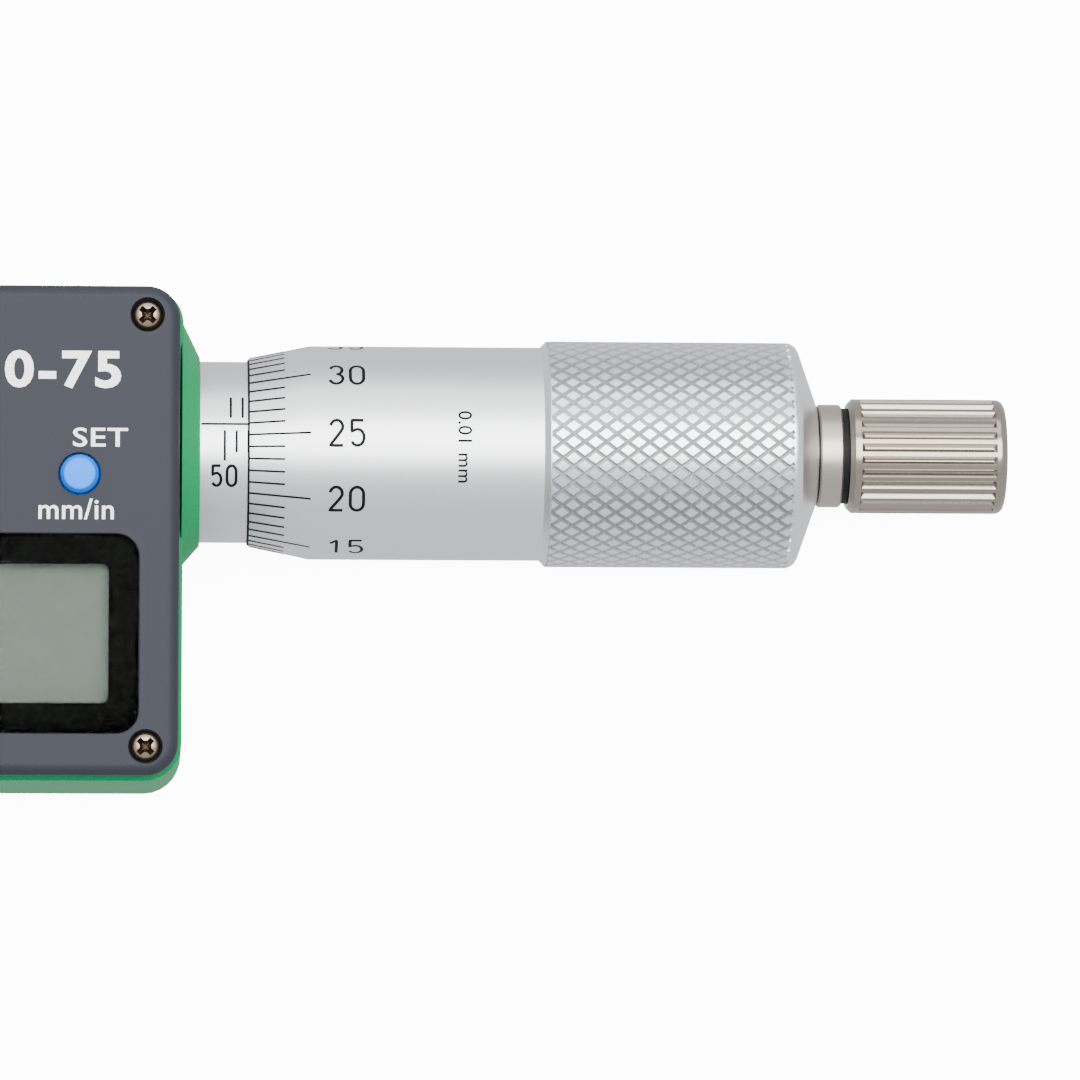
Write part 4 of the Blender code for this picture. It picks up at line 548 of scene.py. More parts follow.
@dataclass
class Marks:
    """Engraved and filled marks, drawn flat and then wrapped round the spindle axis.

    Flat marks have X along the axis and Y round it, upwards in the front view.
    """

    wrap_radius: float
    proud: float = 0.006 * MM
    sunk: float = 0.03 * MM
    row: float = 0.25 * MM
    letter_weight: float = 0.012

    def __post_init__(self) -> None:
        """Start with no marks."""
        self.bm = bmesh.new()

    def add_flat(self, flat: Shape) -> None:
        """Cut a flat mark into rows narrow enough to bend, give it thickness and keep it.

        Args:
            flat: The mark at height 0, which is freed.
        """
        heights = [v.co.y for v in flat.verts]
        level = min(heights) + self.row
        while level < max(heights):
            everything = flat.verts[:] + flat.edges[:] + flat.faces[:]
            bmesh.ops.bisect_plane(flat, geom=everything, plane_co=(0, level, 0), plane_no=(0, 1, 0))
            level += self.row
        thicken(flat, self.proud, self.sunk)
        move_into(self.bm, flat)

    def line(self, low_x: float, high_x: float, low_y: float, high_y: float) -> None:
        """Add a straight line.

        Args:
            low_x: Its lowest place along the axis.
            high_x: Its highest place along the axis.
            low_y: Its lowest place round the axis.
            high_y: Its highest place round the axis.
        """
        flat = bmesh.new()
        middle = Matrix.Translation(((low_x + high_x) / 2, (low_y + high_y) / 2, 0))
        size = Matrix.Diagonal(((high_x - low_x) / 2, (high_y - low_y) / 2, 1, 1))
        bmesh.ops.create_grid(flat, x_segments=1, y_segments=1, size=1.0, matrix=middle @ size)
        self.add_flat(flat)

    def figures(self, text: str, centre: Point, size: FigureSize) -> None:
        """Add figures cut with a round engraving cutter.

        Args:
            text: The figures.
            centre: Their middle, along and round the axis.
            size: Their sizes.
        """
        across, up = (size.width - size.stroke) / 2, (size.height - size.stroke) / 2
        for i, figure in enumerate(text):
            middle_x = centre[0] + (i - (len(text) - 1) / 2) * size.pitch
            for points in FIGURE_STROKES[figure]:
                curve = bpy.data.curves.new("figure", "CURVE")
                curve.dimensions = "3D"
                curve.bevel_depth = size.stroke / 2
                curve.bevel_resolution = 1
                curve.use_fill_caps = True
                spline = curve.splines.new("POLY")
                spline.points.add(len(points) - 1)
                for point, (x, y) in zip(spline.points, points):
                    point.co = (middle_x + x * across, centre[1] + y * up, 0.0, 1.0)
                mesh = mesh_of(bpy.data.objects.new("figure", curve))
                for vertex in mesh.vertices:
                    vertex.co.z *= self.proud / (size.stroke / 2)
                self.bm.from_mesh(mesh)
                bpy.data.meshes.remove(mesh)

    def words(self, text: str, centre: Point, height: float, width: float, quarter_turns: int) -> None:
        """Add small lettering.

        Args:
            text: The lettering.
            centre: Its middle, along and round the axis.
            height: Its height.
            width: Its width.
            quarter_turns: Clockwise quarter turns.
        """
        flat = lettering(text, height, width, self.letter_weight)
        turn = Matrix.Rotation(-quarter_turns * math.pi / 2, 4, "Z")
        bmesh.ops.transform(flat, matrix=Matrix.Translation((*centre, 0)) @ turn, verts=flat.verts)
        self.add_flat(flat)

    def wrap(self, radius_at: Callable[[float], float]) -> Shape:
        """Bend the marks round the axis.

        Args:
            radius_at: Gives the surface's radius at a place along the axis.

        Returns:
            The wrapped marks.
        """
        for vertex in self.bm.verts:
            angle = vertex.co.y / self.wrap_radius
            radius = radius_at(vertex.co.x) + vertex.co.z
            vertex.co = (vertex.co.x, radius * math.sin(angle), radius * math.cos(angle))
        return self.bm


def bowl(middle: Point, reach: Point, start_deg: float, end_deg: float) -> Outline:
    """Points along part of an ellipse.

    Args:
        middle: Its centre.
        reach: Its half width and half height.
        start_deg: Where it starts, anticlockwise from the right.
        end_deg: Where it ends.

    Returns:
        The points, its ends included.
    """
    steps = 12
    angles = [math.radians(start_deg + (end_deg - start_deg) * i / steps) for i in range(steps + 1)]
    return [(middle[0] + reach[0] * math.cos(a), middle[1] + reach[1] * math.sin(a)) for a in angles]


def straight(start: Point, end: Point) -> Outline:
    """Points along a straight stroke, close enough to bend round the axis.

    Args:
        start: Its start.
        end: Its end.

    Returns:
        The points, its ends included.
    """
    steps = 8
    return [tuple(a + (b - a) * i / steps for a, b in zip(start, end)) for i in range(steps + 1)]


# Strokes of the plain engraved figures, in a cell from -1 to 1 each way
FIGURE_STROKES: dict[str, list[Outline]] = {
    "0": [bowl((0, 0.42), (1, 0.58), 0, 180) + straight((-1, 0.42), (-1, -0.42))[1:]
          + bowl((0, -0.42), (1, 0.58), 180, 360)[1:] + straight((1, -0.42), (1, 0.42))[1:]],
    "1": [straight((-0.75, 0.6), (0.25, 1)) + straight((0.25, 1), (0.25, -1))[1:]],
    "2": [bowl((0, 0.48), (0.92, 0.52), 172, -20) + straight((0.8, 0.2), (-1, -1))[1:]
          + straight((-1, -1), (1, -1))[1:]],
    "3": [bowl((0, 0.5), (0.9, 0.5), 165, -88), bowl((0, -0.48), (1, 0.52), 88, -165)],
    "4": [straight((0.35, 1), (-1, -0.45)) + straight((-1, -0.45), (1, -0.45))[1:],
          straight((0.45, 0.1), (0.45, -1))],
    "5": [straight((0.9, 1), (-0.85, 1)) + straight((-0.85, 1), (-0.85, 0.08))[1:]
          + bowl((0, -0.36), (1, 0.64), 138, -150)[1:]],
    "6": [straight((0.5, 1), (-0.72, 0.05)) + bowl((0, -0.42), (1, 0.58), 142, 502)[1:]],
    "7": [straight((-1, 1), (1, 1)) + straight((1, 1), (-0.35, -1))[1:]],
}


def lettering(text: str, height: float, width: float, weight: float) -> Shape:
    """Draw letters flat at height 0, with their middle at the origin.

    Args:
        text: What to draw.
        height: Height of the drawn outline.
        width: Width of the drawn outline.
        weight: How much its strokes are thickened, as a share of the type size.

    Returns:
        The flat letters.
    """
    curve = bpy.data.curves.new("lettering", "FONT")
    curve.body = text
    curve.resolution_u = 4
    curve.offset = weight
    # Thicker strokes need more room between the letters
    curve.space_character = 1.0 + LETTER_ROOM * weight
    mesh = mesh_of(bpy.data.objects.new("lettering", curve))
    bm = bmesh.new()
    bm.from_mesh(mesh)
    bpy.data.meshes.remove(mesh)
    bmesh.ops.remove_doubles(bm, verts=bm.verts, dist=LETTER_WELD)
    low = Vector([min(v.co[i] for v in bm.verts) for i in range(3)])
    high = Vector([max(v.co[i] for v in bm.verts) for i in range(3)])
    size = Matrix.Diagonal((width / (high.x - low.x), height / (high.y - low.y), 1, 1))
    bmesh.ops.transform(bm, matrix=size @ Matrix.Translation(-(low + high) / 2), verts=bm.verts)
    return bm


@dataclass
class ScaleSleeve:
    """The outer sleeve and its millimetre scale."""

    steps: int = 160
    chamfer: float = 0.3 * MM
    wall: float = 1.5 * MM
    zero_from_boss: float = 2.89 * MM
    index_before_zero: float = 2.0 * MM
    index_deg: float = INDEX_DEG
    first: int = 50
    last: int = 75
    labelled: int = 5
    division: float = 0.5 * MM
    line_width: float = 0.21 * MM
    index_width: float = 0.19 * MM
    near_deg: float = 4.1
    half_deg: float = 18.8
    whole_deg: float = 18.0
    long_deg: float = 23.3
    number_mid_deg: float = 32.9
    number_shift: float = 0.05 * MM
    numbers: FigureSize = FigureSize(height=2.02 * MM, width=1.03 * MM, pitch=1.27 * MM, stroke=0.26 * MM)

    def build(self) -> None:
        """Turn the sleeve and wrap its scale."""
        low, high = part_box("outer_sleeve")
        radius = high.y
        start, end = low.x, high.x
        inner = radius - self.wall
        profile = [
            (start, inner),
            (start, radius),
            (end - self.chamfer, radius),
            (end, radius - self.chamfer),
            (end, inner),
        ]
        finish_piece("sleeve_barrel", turn_profile(profile, self.steps), SATIN_CHROME, FRAME_BODY,
                     nodes=("outer_sleeve",))
        self.engrave(start, end, radius)

    def engrave(self, start: float, end: float, radius: float) -> None:
        """Draw the index line, the millimetre and half-millimetre lines and their numbers.

        Args:
            start: The sleeve's end in the boss.
            end: Its free end.
            radius: Its radius.
        """
        marks = Marks(radius)
        per_degree = radius * TAU / 360
        index = self.index_deg * per_degree
        half_width = self.index_width / 2
        zero = start + self.zero_from_boss
        marks.line(zero - self.index_before_zero, end - self.chamfer, index - half_width, index + half_width)
        near = self.near_deg * per_degree
        for step in range(2 * (self.last - self.first) + 1):
            x = zero + step * self.division
            low_x, high_x = x - self.line_width / 2, x + self.line_width / 2
            value = self.first + step // 2
            if step % 2:
                marks.line(low_x, high_x, index + near, index + self.half_deg * per_degree)
                continue
            numbered = value % self.labelled == 0
            reach = self.long_deg if numbered else self.whole_deg
            marks.line(low_x, high_x, index - reach * per_degree, index - near)
            if numbered:
                centre = (x - self.number_shift, index - self.number_mid_deg * per_degree)
                marks.figures(str(value), centre, self.numbers)
        finish_piece("sleeve_scale", marks.wrap(lambda x: radius), SCALE_BLACK, FRAME_BODY)


@dataclass
class Thimble:
    """The thimble: bevelled scale, smooth barrel and knurled grip."""

    steps: int = 192
    edge_wall: float = 0.15 * MM
    edge_line: float = 0.18 * MM
    bore_radius: float = 7.9 * MM
    bevel_length: float = 5.33 * MM
    barrel_radius: float = 9.14 * MM
    barrel_length: float = 25.67 * MM
    cavity_length: float = 33.0 * MM
    neck_radius: float = 4.42 * MM
    stem_radius: float = 2.2 * MM
    groove: float = 0.1 * MM
    groove_depth: float = 0.25 * MM
    chamfer: float = 0.5 * MM
    end_cone: float = 1.6 * MM
    end_round: float = 0.95 * MM
    end_rows: int = 6
    end_row_share: float = 0.16
    smooth_deg: float = 12.0
    pitches: int = 44
    rows_per_pitch: int = 6
    axial_pitch: float = 1.83 * MM
    knurl_depth: float = 0.4 * MM
    groove_share: float = 1.0 / 6.0
    crest_margin: float = 0.02 * MM
    index_deg: float = INDEX_DEG
    division_at_index: int = 26
    divisions: int = 50
    labelled: int = 5
    line_width: float = 0.18 * MM
    short_line: float = 3.15 * MM
    number_gap: float = 3.02 * MM
    numbers: FigureSize = FigureSize(height=2.46 * MM, width=1.4 * MM, pitch=1.76 * MM, stroke=0.28 * MM)
    words_gap: float = 13.0 * MM
    words_turn_share: float = 0.1
    words_height: float = 1.2 * MM
    words_width: float = 6.2 * MM

    def build(self) -> None:
        """Turn the barrel, knurl the grip and wrap the scale."""
        low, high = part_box("thimble")
        self.start, self.end, self.grip_radius = low.x, high.x, high.y
        self.grip_start = self.start + self.barrel_length
        self.grip_end = self.end - self.end_cone
        cavity_end = self.start + self.cavity_length
        foot = self.grip_start - self.groove
        edge = self.start + self.edge_line
        # A thin black ring at the thimble's edge: painted shadow of the gap between sleeve and thimble
        line = [
            (self.start, self.bore_radius - self.edge_wall / 2),
            (self.start, self.bore_radius),
            (edge, self.bore_radius + self.edge_wall),
            (edge, self.bore_radius - self.edge_wall / 2),
        ]
        finish_piece("thimble_edge_painted_shadow", turn_profile(line, self.steps), GAP_SHADOW, SPINDLE_BODY)
        barrel = [
            (edge, self.bore_radius),
            (edge, self.bore_radius + self.edge_wall),
            (self.start + self.bevel_length, self.barrel_radius),
            (foot - self.chamfer, self.barrel_radius),
            (foot, self.grip_radius),
            (foot, self.grip_radius - self.groove_depth),
            (self.grip_start, self.grip_radius - self.groove_depth),
            (self.grip_start, self.bore_radius),
        ]
        finish_piece("thimble_barrel", turn_profile(barrel, self.steps), SATIN_CHROME, SPINDLE_BODY,
                     nodes=("thimble",))
        finish_piece("thimble_grip", self.knurled_grip(cavity_end), KNURL_CHROME_LIT, SPINDLE_BODY,
                     self.smooth_deg, second=KNURL_GROOVE_SHADE)
        self.engrave()

    def knurl_depth_at(self, x: float, angle: float) -> float:
        """Depth of the crossing V grooves below the grip's crests.

        Args:
            x: Place along the axis.
            angle: Angle round it.

        Returns:
            A depth, 0 on a crest.
        """
        around = angle / TAU * self.pitches
        along = (x - self.grip_start) / self.axial_pitch
        first = abs((around + along + 0.5) % 1.0 - 0.5)
        second = abs((around - along + 0.5) % 1.0 - 0.5)
        height = min(min(first, second) / self.groove_share, 1.0)
        return self.knurl_depth * (1.0 - height)

    def knurled_grip(self, cavity_end: float) -> Shape:
        """Spin the grip, press the diamond pattern into it and mark the faces in its grooves.

        Args:
            cavity_end: Where the thimble's cavity ends.

        Returns:
            The grip.
        """
        step = self.axial_pitch / self.rows_per_pitch
        knurl_end = self.grip_end - self.end_round
        rows = int((knurl_end - self.grip_start) / step)
        profile = [(self.grip_start, self.bore_radius)]
        profile += [(self.grip_start + step * i, self.grip_radius) for i in range(rows + 1)]
        last = self.grip_start + step * rows
        reach = self.grip_end - last
        # The grooves stop at the last full row, and the rounded end beyond it is smooth
        for i in range(1, self.end_rows + 1):
            bend = self.end_row_share * i
            fall = self.end_round * (1.0 - math.sqrt(1.0 - bend**2))
            profile.append((last + reach * bend, self.grip_radius - fall))
        profile += [
            (self.end, self.neck_radius),
            (self.end, self.stem_radius),
            (cavity_end, self.stem_radius),
            (cavity_end, self.bore_radius),
        ]
        bm = turn_profile(profile, self.pitches * self.rows_per_pitch)
        press_in(bm, self.grip_radius, self.knurl_depth_at)
        self.split_along_grooves(bm, self.grip_radius - self.end_round)
        # Faces below the crests take the darker copy of the plate: painted shade in the grooves
        crest = self.grip_radius - self.crest_margin
        for face in bm.faces:
            middle = face.calc_center_median()
            inside = self.grip_start < middle.x < last
            face.material_index = int(inside and math.hypot(middle.y, middle.z) < crest)
        return bm

    def split_along_grooves(self, bm: Shape, floor: float) -> None:
        """Split each small face of the knurl so that its edge follows the groove.

        Args:
            bm: The grip.
            floor: Faces inside this radius are left alone.
        """
        for face in bm.faces[:]:
            corners = face.verts[:]
            if len(corners) != 4:
                continue
            heights = [math.hypot(v.co.y, v.co.z) for v in corners]
            if min(heights) < floor or max(heights) - min(heights) < LEVEL:
                continue
            first = (round(abs(heights[0] - heights[2]), 6), heights[0] + heights[2])
            second = (round(abs(heights[1] - heights[3]), 6), heights[1] + heights[3])
            pair = (0, 2) if first < second else (1, 3)
            bmesh.utils.face_split(face, corners[pair[0]], corners[pair[1]])

    def engrave(self) -> None:
        """Draw the fifty divisions and the number of every fifth."""
        bevel_end = self.start + self.bevel_length
        edge_radius = self.bore_radius + self.edge_wall

        def radius_at(x: float) -> float:
            """The thimble's radius at a place along the axis."""
            share = min(max((x - self.start) / self.bevel_length, 0.0), 1.0)
            return edge_radius + (self.barrel_radius - edge_radius) * share

        marks = Marks(self.barrel_radius)
        per_degree = self.barrel_radius * TAU / 360
        division = 360.0 / self.divisions
        for value in range(self.divisions):
            middle = (self.index_deg + (value - self.division_at_index) * division) * per_degree
            low_y, high_y = middle - self.line_width / 2, middle + self.line_width / 2
            numbered = value % self.labelled == 0
            end = bevel_end if numbered else self.start + self.short_line
            marks.line(self.start + self.edge_line, end, low_y, high_y)
            if numbered:
                centre = (bevel_end + self.number_gap, middle)
                marks.figures(str(value), centre, self.numbers)
        place = (bevel_end + self.words_gap, self.index_deg * self.words_turn_share * per_degree)
        marks.words("0.01 mm", place, self.words_height, self.words_width, quarter_turns=1)
        finish_piece("thimble_scale", marks.wrap(radius_at), SCALE_BLACK, SPINDLE_BODY)


@dataclass
class Ratchet:
    """The ratchet's smooth neck and its fluted knob."""

    steps: int = 128
    neck_length: float = 2.0 * MM
    gap_ring_radius: float = 4.1 * MM
    neck_chamfer: float = 0.15 * MM
    post_radius: float = 1.7 * MM
    stem_radius: float = 2.0 * MM
    neck_radius: float = 4.42 * MM
    joint: float = 0.15 * MM
    ring_gap: Point = (0.02 * MM, 0.04 * MM)
    flutes: int = 28
    facets_per_flute: int = 12
    flute_depth: float = 0.36 * MM
    flute_start: float = 0.95 * MM
    flute_end: float = 0.95 * MM
    flute_run: float = 0.35 * MM
    land_share: float = 0.36
    end_slope: float = 1.2
    side_slope: float = 1.25
    smooth_deg: float = 22.0
    wall: float = 1.0 * MM
    cavity: float = 10.8 * MM
    floor: float = 1.2 * MM
    counterbore: float = 2.4 * MM
    left_chamfer: float = 0.42 * MM
    end_round: float = 0.7 * MM

    def build(self) -> None:
        """Turn the neck and the knob."""
        low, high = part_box("ratchet_body")
        neck_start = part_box("thimble")[1].x + self.joint
        neck_end = neck_start + self.neck_length
        chamfer = self.neck_chamfer
        neck = [
            (low.x, 0.0),
            (low.x, self.stem_radius),
            (neck_start, self.stem_radius),
            (neck_start, self.neck_radius - chamfer),
            (neck_start + chamfer, self.neck_radius),
            (neck_end - chamfer, self.neck_radius),
            (neck_end, self.neck_radius - chamfer),
            (neck_end, self.post_radius),
            (high.x, self.post_radius),
            (high.x, 0.0),
        ]
        finish_piece("ratchet_neck", turn_profile(neck, self.steps), SATIN_STEEL, SPINDLE_BODY,
                     nodes=("ratchet_body",))
        # A black ring in the gap between neck and knob: painted shade, since the gap only lies in shadow
        ring_start = neck_end + self.ring_gap[0]
        ring_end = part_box("ratchet_knob")[0].x - self.ring_gap[1]
        ring = [
            (ring_start, self.post_radius),
            (ring_start, self.gap_ring_radius),
            (ring_end, self.gap_ring_radius),
            (ring_end, self.post_radius),
        ]
        finish_piece("ratchet_gap_painted_shade", turn_profile(ring, self.steps), GAP_SHADOW, SPINDLE_BODY)
        finish_piece("fluted_knob", self.fluted_knob(), TURNED_STEEL, KNOB_BODY, self.smooth_deg,
                     nodes=("ratchet_knob",))

    def fluted_knob(self) -> Shape:
        """Spin the knob and press the flutes into it.

        Returns:
            The knob.
        """
        low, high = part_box("ratchet_knob")
        start, end, radius = low.x, high.x, high.y
        bore = radius - self.wall
        cavity_end = start + self.cavity
        seat = cavity_end + self.floor
        self.flute_low, self.flute_high = start + self.flute_start, end - self.flute_end
        profile = [(start, bore), (start, radius - self.left_chamfer), (start + self.left_chamfer, radius)]
        runs = [self.flute_run * share for share in (0.0, 0.25, 0.5, 0.75, 1.0)]
        profile += [(self.flute_low + run, radius) for run in runs]
        profile += [(self.flute_high - run, radius) for run in reversed(runs)]
        profile += corner_curve((end, radius), (self.end_round, self.end_round), steps=6)
        profile += [
            (end, self.counterbore),
            (seat, self.counterbore),
            (seat, self.post_radius),
            (cavity_end, self.post_radius),
            (cavity_end, bore),
        ]
        bm = turn_profile(profile, self.flutes * self.facets_per_flute)
        press_in(bm, radius, self.flute_depth_at)
        return bm

    def flute_depth_at(self, x: float, angle: float) -> float:
        """Depth of the flutes below the knob's lands.

        Args:
            x: Place along the axis.
            angle: Angle round it.

        Returns:
            A depth, 0 on a land.
        """
        run = min(max(min(x - self.flute_low, self.flute_high - x) / self.flute_run, 0.0), 1.0)
        across = abs(angle / TAU * self.flutes % 1.0 - 0.5) * 2.0
        groove = max(0.0, 1.0 - across / (1.0 - self.land_share))
        return self.flute_depth * min(run * self.end_slope, groove * self.side_slope, 1.0)


@dataclass(frozen=True)
class Label:
    """A generic label on the cover, placed by its right end and the height of its middle."""

    text: str
    right: float
    y: float
    height: float
    width: float
    weight: float = 0.01


@dataclass
class DisplayHousing:
    """The front cover with its window, key caps and labels."""

    corner: float = 2.8 * MM
    edge: float = 1.0 * MM
    wall: float = 1.6 * MM
    inner_level: float = 10.2 * MM
    window_corner: float = 1.9 * MM
    window_fit: float = 0.1 * MM
    ledge_gap: float = 0.2 * MM
    view_border: float = 2.5 * MM
    view_corner: float = 0.56 * MM
    screw_hole: float = 1.45 * MM
    shank_hole: float = 1.0 * MM
    post_radius: float = 2.3 * MM
    head_seat: float = 1.25 * MM
    button_hole: float = 1.8 * MM
    cut_over: float = 1.0 * MM
    smooth_deg: float = 28.0
    pin_steps: int = 64
    pane_round: float = 0.12 * MM
    pane_smooth_deg: float = 40.0
    print_depths: Point = (0.02 * MM, 0.1 * MM)
    key_flange: float = 2.4 * MM
    key_flange_height: float = 0.4 * MM
    key_stem: float = 1.6 * MM
    key_stem_rise: float = 0.2 * MM
    key_top: float = 1.35 * MM
    key_round: float = 0.2 * MM
    label_under_key: float = 2.95 * MM
    label_height: float = 0.03 * MM
    label_sunk: float = 0.02 * MM

    def build(self) -> None:
        """Build the housing's visible pieces."""
        self.low, self.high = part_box("front_cover")
        self.cover()
        self.window()
        for side in SIDES:
            self.button(side)
        self.labels()

    def cover(self) -> None:
        """Shape the cover and cut its window, button holes and screw holes."""
        low, high = self.low, self.high
        outline = rounded_rectangle((low.x, low.y), (high.x, high.y), self.corner)
        body = slab(outline, low.z, high.z)
        round_top(body, high.z, self.edge, segments=6)
        over = self.cut_over
        inside_low = (low.x + self.wall, low.y + self.wall)
        inside_high = (high.x - self.wall, high.y - self.wall)
        hollow = slab(rounded_rectangle(inside_low, inside_high, self.corner / 2), low.z - over,
                      self.inner_level)
        places = [self.middle(f"cover_screw_{i}") for i in range(1, 5)]
        posts = [self.pin(place, low.z - 2 * over, self.inner_level + over, self.post_radius)
                 for place in places]
        cutters = [carve(hollow, posts)]
        seat_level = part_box("cover_screw_1")[1].z - self.head_seat
        for place in places:
            cutters.append(self.pin(place, low.z - over, high.z + over, self.shank_hole))
            cutters.append(self.pin(place, seat_level, high.z + over, self.screw_hole))
        for side in SIDES:
            place = self.middle(f"{side}_button")
            cutters.append(self.pin(place, self.inner_level - over, high.z + over, self.button_hole))
        pane_low, pane_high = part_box("display_window")
        fit = self.window_fit
        pane = rounded_rectangle((pane_low.x - fit, pane_low.y - fit), (pane_high.x + fit, pane_high.y + fit),
                                 self.window_corner + fit)
        cutters.append(slab(pane, pane_low.z - self.ledge_gap, high.z + over))
        inset = self.view_border - self.ledge_gap
        view = rounded_rectangle((pane_low.x + inset, pane_low.y + inset),
                                 (pane_high.x - inset, pane_high.y - inset), self.view_corner)
        cutters.append(slab(view, self.inner_level - over, high.z))
        finish_piece("cover_shell", carve(body, cutters), MOULDED_ABS, FRAME_BODY, self.smooth_deg,
                     nodes=("front_cover",), flat_faces=True)

    def middle(self, node: str) -> Vector:
        """The middle of a node, seen from the front.

        Args:
            node: The node's name.

        Returns:
            Its middle, at height 0.
        """
        low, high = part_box(node)
        return Vector(((low.x + high.x) / 2, (low.y + high.y) / 2, 0.0))

    def pin(self, place: Vector, low: float, high: float, radius: float) -> Shape:
        """A round upright bar.

        Args:
            place: Its middle.
            low: Its foot.
            high: Its top.
            radius: Its radius.

        Returns:
            The bar.
        """
        profile = [(low, 0.0), (low, radius), (high, radius), (high, 0.0)]
        return turn_profile(profile, self.pin_steps, place, upright=True)

    def window(self) -> None:
        """Make the clear pane, and the black print behind it with its view opening."""
        low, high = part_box("display_window")
        outline = rounded_rectangle((low.x, low.y), (high.x, high.y), self.window_corner)
        pane = slab(outline, low.z, high.z)
        round_top(pane, high.z, self.pane_round, segments=3)
        finish_piece("window_pane", pane, WINDOW, FRAME_BODY, self.pane_smooth_deg,
                     nodes=("display_window",), flat_faces=True)
        border = self.view_border
        view = rounded_rectangle((low.x + border, low.y + border), (high.x - border, high.y - border),
                                 self.view_corner)
        print_top, print_low = (low.z - depth for depth in self.print_depths)
        opening = slab(view, print_low - self.cut_over, print_top + self.cut_over)
        film = carve(slab(outline, print_low, print_top), [opening])
        finish_piece("window_border_print", film, BLACK_PRINT, FRAME_BODY)

    def button(self, side: str) -> None:
        """Turn a key cap with a crowned face.

        Args:
            side: Left or right.
        """
        low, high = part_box(f"{side}_button")
        place = self.middle(f"{side}_button")
        flange_top = low.z + self.key_flange_height
        profile = [(low.z, 0.0), (low.z, self.key_flange), (flange_top, self.key_flange),
                   (flange_top, self.key_stem), (self.high.z + self.key_stem_rise, self.key_stem)]
        profile += corner_curve((high.z, self.key_top), (self.key_round, self.key_round), steps=5)
        profile.append((high.z, 0.0))
        cap = turn_profile(profile, self.pin_steps, place, upright=True)
        finish_piece(f"{side}_key_cap", cap, KEY_BLUE, f"{side}_button_body", nodes=(f"{side}_button",),
                     flat_faces=True)

    def labels(self) -> None:
        """Print the generic labels on the cover."""
        left, right = self.low.x, self.high.x
        under_key = self.middle("right_button").y - self.label_under_key
        labels = (
            Label("50-75", right - 4.95 * MM, 6.4 * MM, height=3.2 * MM, width=12.4 * MM, weight=0.03),
            Label("SET", right - 4.35 * MM, 0.72 * MM, height=1.6 * MM, width=4.6 * MM),
            Label("mm/in", right - 5.5 * MM, under_key, height=1.75 * MM, width=6.3 * MM),
            Label("ON/OFF", left + 10.8 * MM, 0.72 * MM, height=1.6 * MM, width=7.6 * MM),
        )
        whole = bmesh.new()
        for label in labels:
            flat = lettering(label.text, label.height, label.width, label.weight)
            thicken(flat, self.label_height)
            place = (label.right - label.width / 2, label.y, self.high.z - self.label_sunk)
            bmesh.ops.translate(flat, verts=flat.verts, vec=place)
            move_into(whole, flat)
        finish_piece("cover_labels", whole, LABEL_WHITE, FRAME_BODY)


@dataclass
class CrossScrews:
    """Cross recessed screws, domed and a little sunk."""

    dome_share: float = 0.6
    dome_start_deg: float = 12.0
    arm_share: float = 0.72
    width_share: float = 0.22
    arm_height_share: float = 1.4
    foot_share: float = 0.4
    root_share: float = 0.1
    core_share: float = 0.42
    core_depth_share: float = 1.6
    core_top_share: float = 0.1
    recess_share: float = 1.7
    steep_normal: float = 0.7
    turn_deg: float = 45.0
    steps: int = 48

    def build(self) -> None:
        """Make every screw from its node's box."""
        # Count, head height and shank radius
        kinds = {
            "cover_screw": (4, 0.95 * MM, 0.8 * MM),
            "plate_screw": (4, 0.8 * MM, 0.9 * MM),
            "battery_cover_screw": (2, 0.8 * MM, 0.8 * MM),
        }
        for kind, (count, head_height, shank) in kinds.items():
            for i in range(1, count + 1):
                node = f"{kind}_{i}"
                low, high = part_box(node)
                backwards = kind == "battery_cover_screw" or (kind == "plate_screw" and i % 2 == 0)
                self.screw(node, low, high, head_height, shank, backwards)

    def screw(self, node: str, low: Vector, high: Vector, head_height: float, shank: float,
              backwards: bool) -> None:
        """Turn a domed screw and sink its cross.

        Args:
            node: The CAD screw.
            low: Its lowest corner.
            high: Its highest corner.
            head_height: Height of its head.
            shank: Radius of its shank.
            backwards: Its head points to the back.
        """
        radius = (high.x - low.x) / 2
        length = high.z - low.z
        seat = length - head_height
        dome = head_height * self.dome_share
        profile = [(0.0, 0.0), (0.0, shank), (seat, shank), (seat, radius)]
        profile += corner_curve((length, radius), (dome, radius), steps=7, start_deg=self.dome_start_deg)[:-1]
        profile.append((length, 0.0))
        head = turn_profile(profile, self.steps, upright=True)
        arm, half = radius * self.arm_share, radius * self.width_share
        cutters = []
        for i in range(2):
            bar = bmesh.new()
            size = Matrix.Diagonal((2 * arm, 2 * half, self.arm_height_share * head_height, 1))
            turn = Matrix.Rotation(math.radians(self.turn_deg) + i * math.pi / 2, 4, "Z")
            corners = bmesh.ops.create_cube(bar, size=1.0)["verts"]
            for corner in corners:
                if corner.co.z < 0:
                    corner.co.x *= self.foot_share
                    corner.co.y *= self.root_share
            lift = Matrix.Translation((0, 0, length - dome))
            bmesh.ops.transform(bar, matrix=lift @ turn @ size, verts=bar.verts)
            cutters.append(bar)
        core_foot = length - head_height * self.core_depth_share
        core_top = length + head_height * self.core_top_share
        core = [(core_foot, 0.0), (core_top, radius * self.core_share), (core_top, 0.0)]
        cutters.append(turn_profile(core, self.steps, upright=True))
        made = carve(head, cutters)
        # Walls and floor of the cross take the darker copy: painted shade in the recess
        recess_foot = length - self.recess_share * head_height
        for face in made.faces:
            middle = face.calc_center_median()
            near = math.hypot(middle.x, middle.y) < arm and middle.z > recess_foot
            face.material_index = int(near and (abs(face.normal.z) < self.steep_normal or middle.z < seat))
        if backwards:
            flip = Matrix.Translation((0, 0, length)) @ Matrix.Rotation(math.pi, 4, "X")
            bmesh.ops.transform(made, matrix=flip, verts=made.verts)
        foot = ((low.x + high.x) / 2, (low.y + high.y) / 2, low.z)
        bmesh.ops.translate(made, verts=made.verts, vec=foot)
        finish_piece(f"{node}_cross", made, SCREW_NICKEL, FRAME_BODY, nodes=(node,),
                     second=SCREW_RECESS_SHADE)


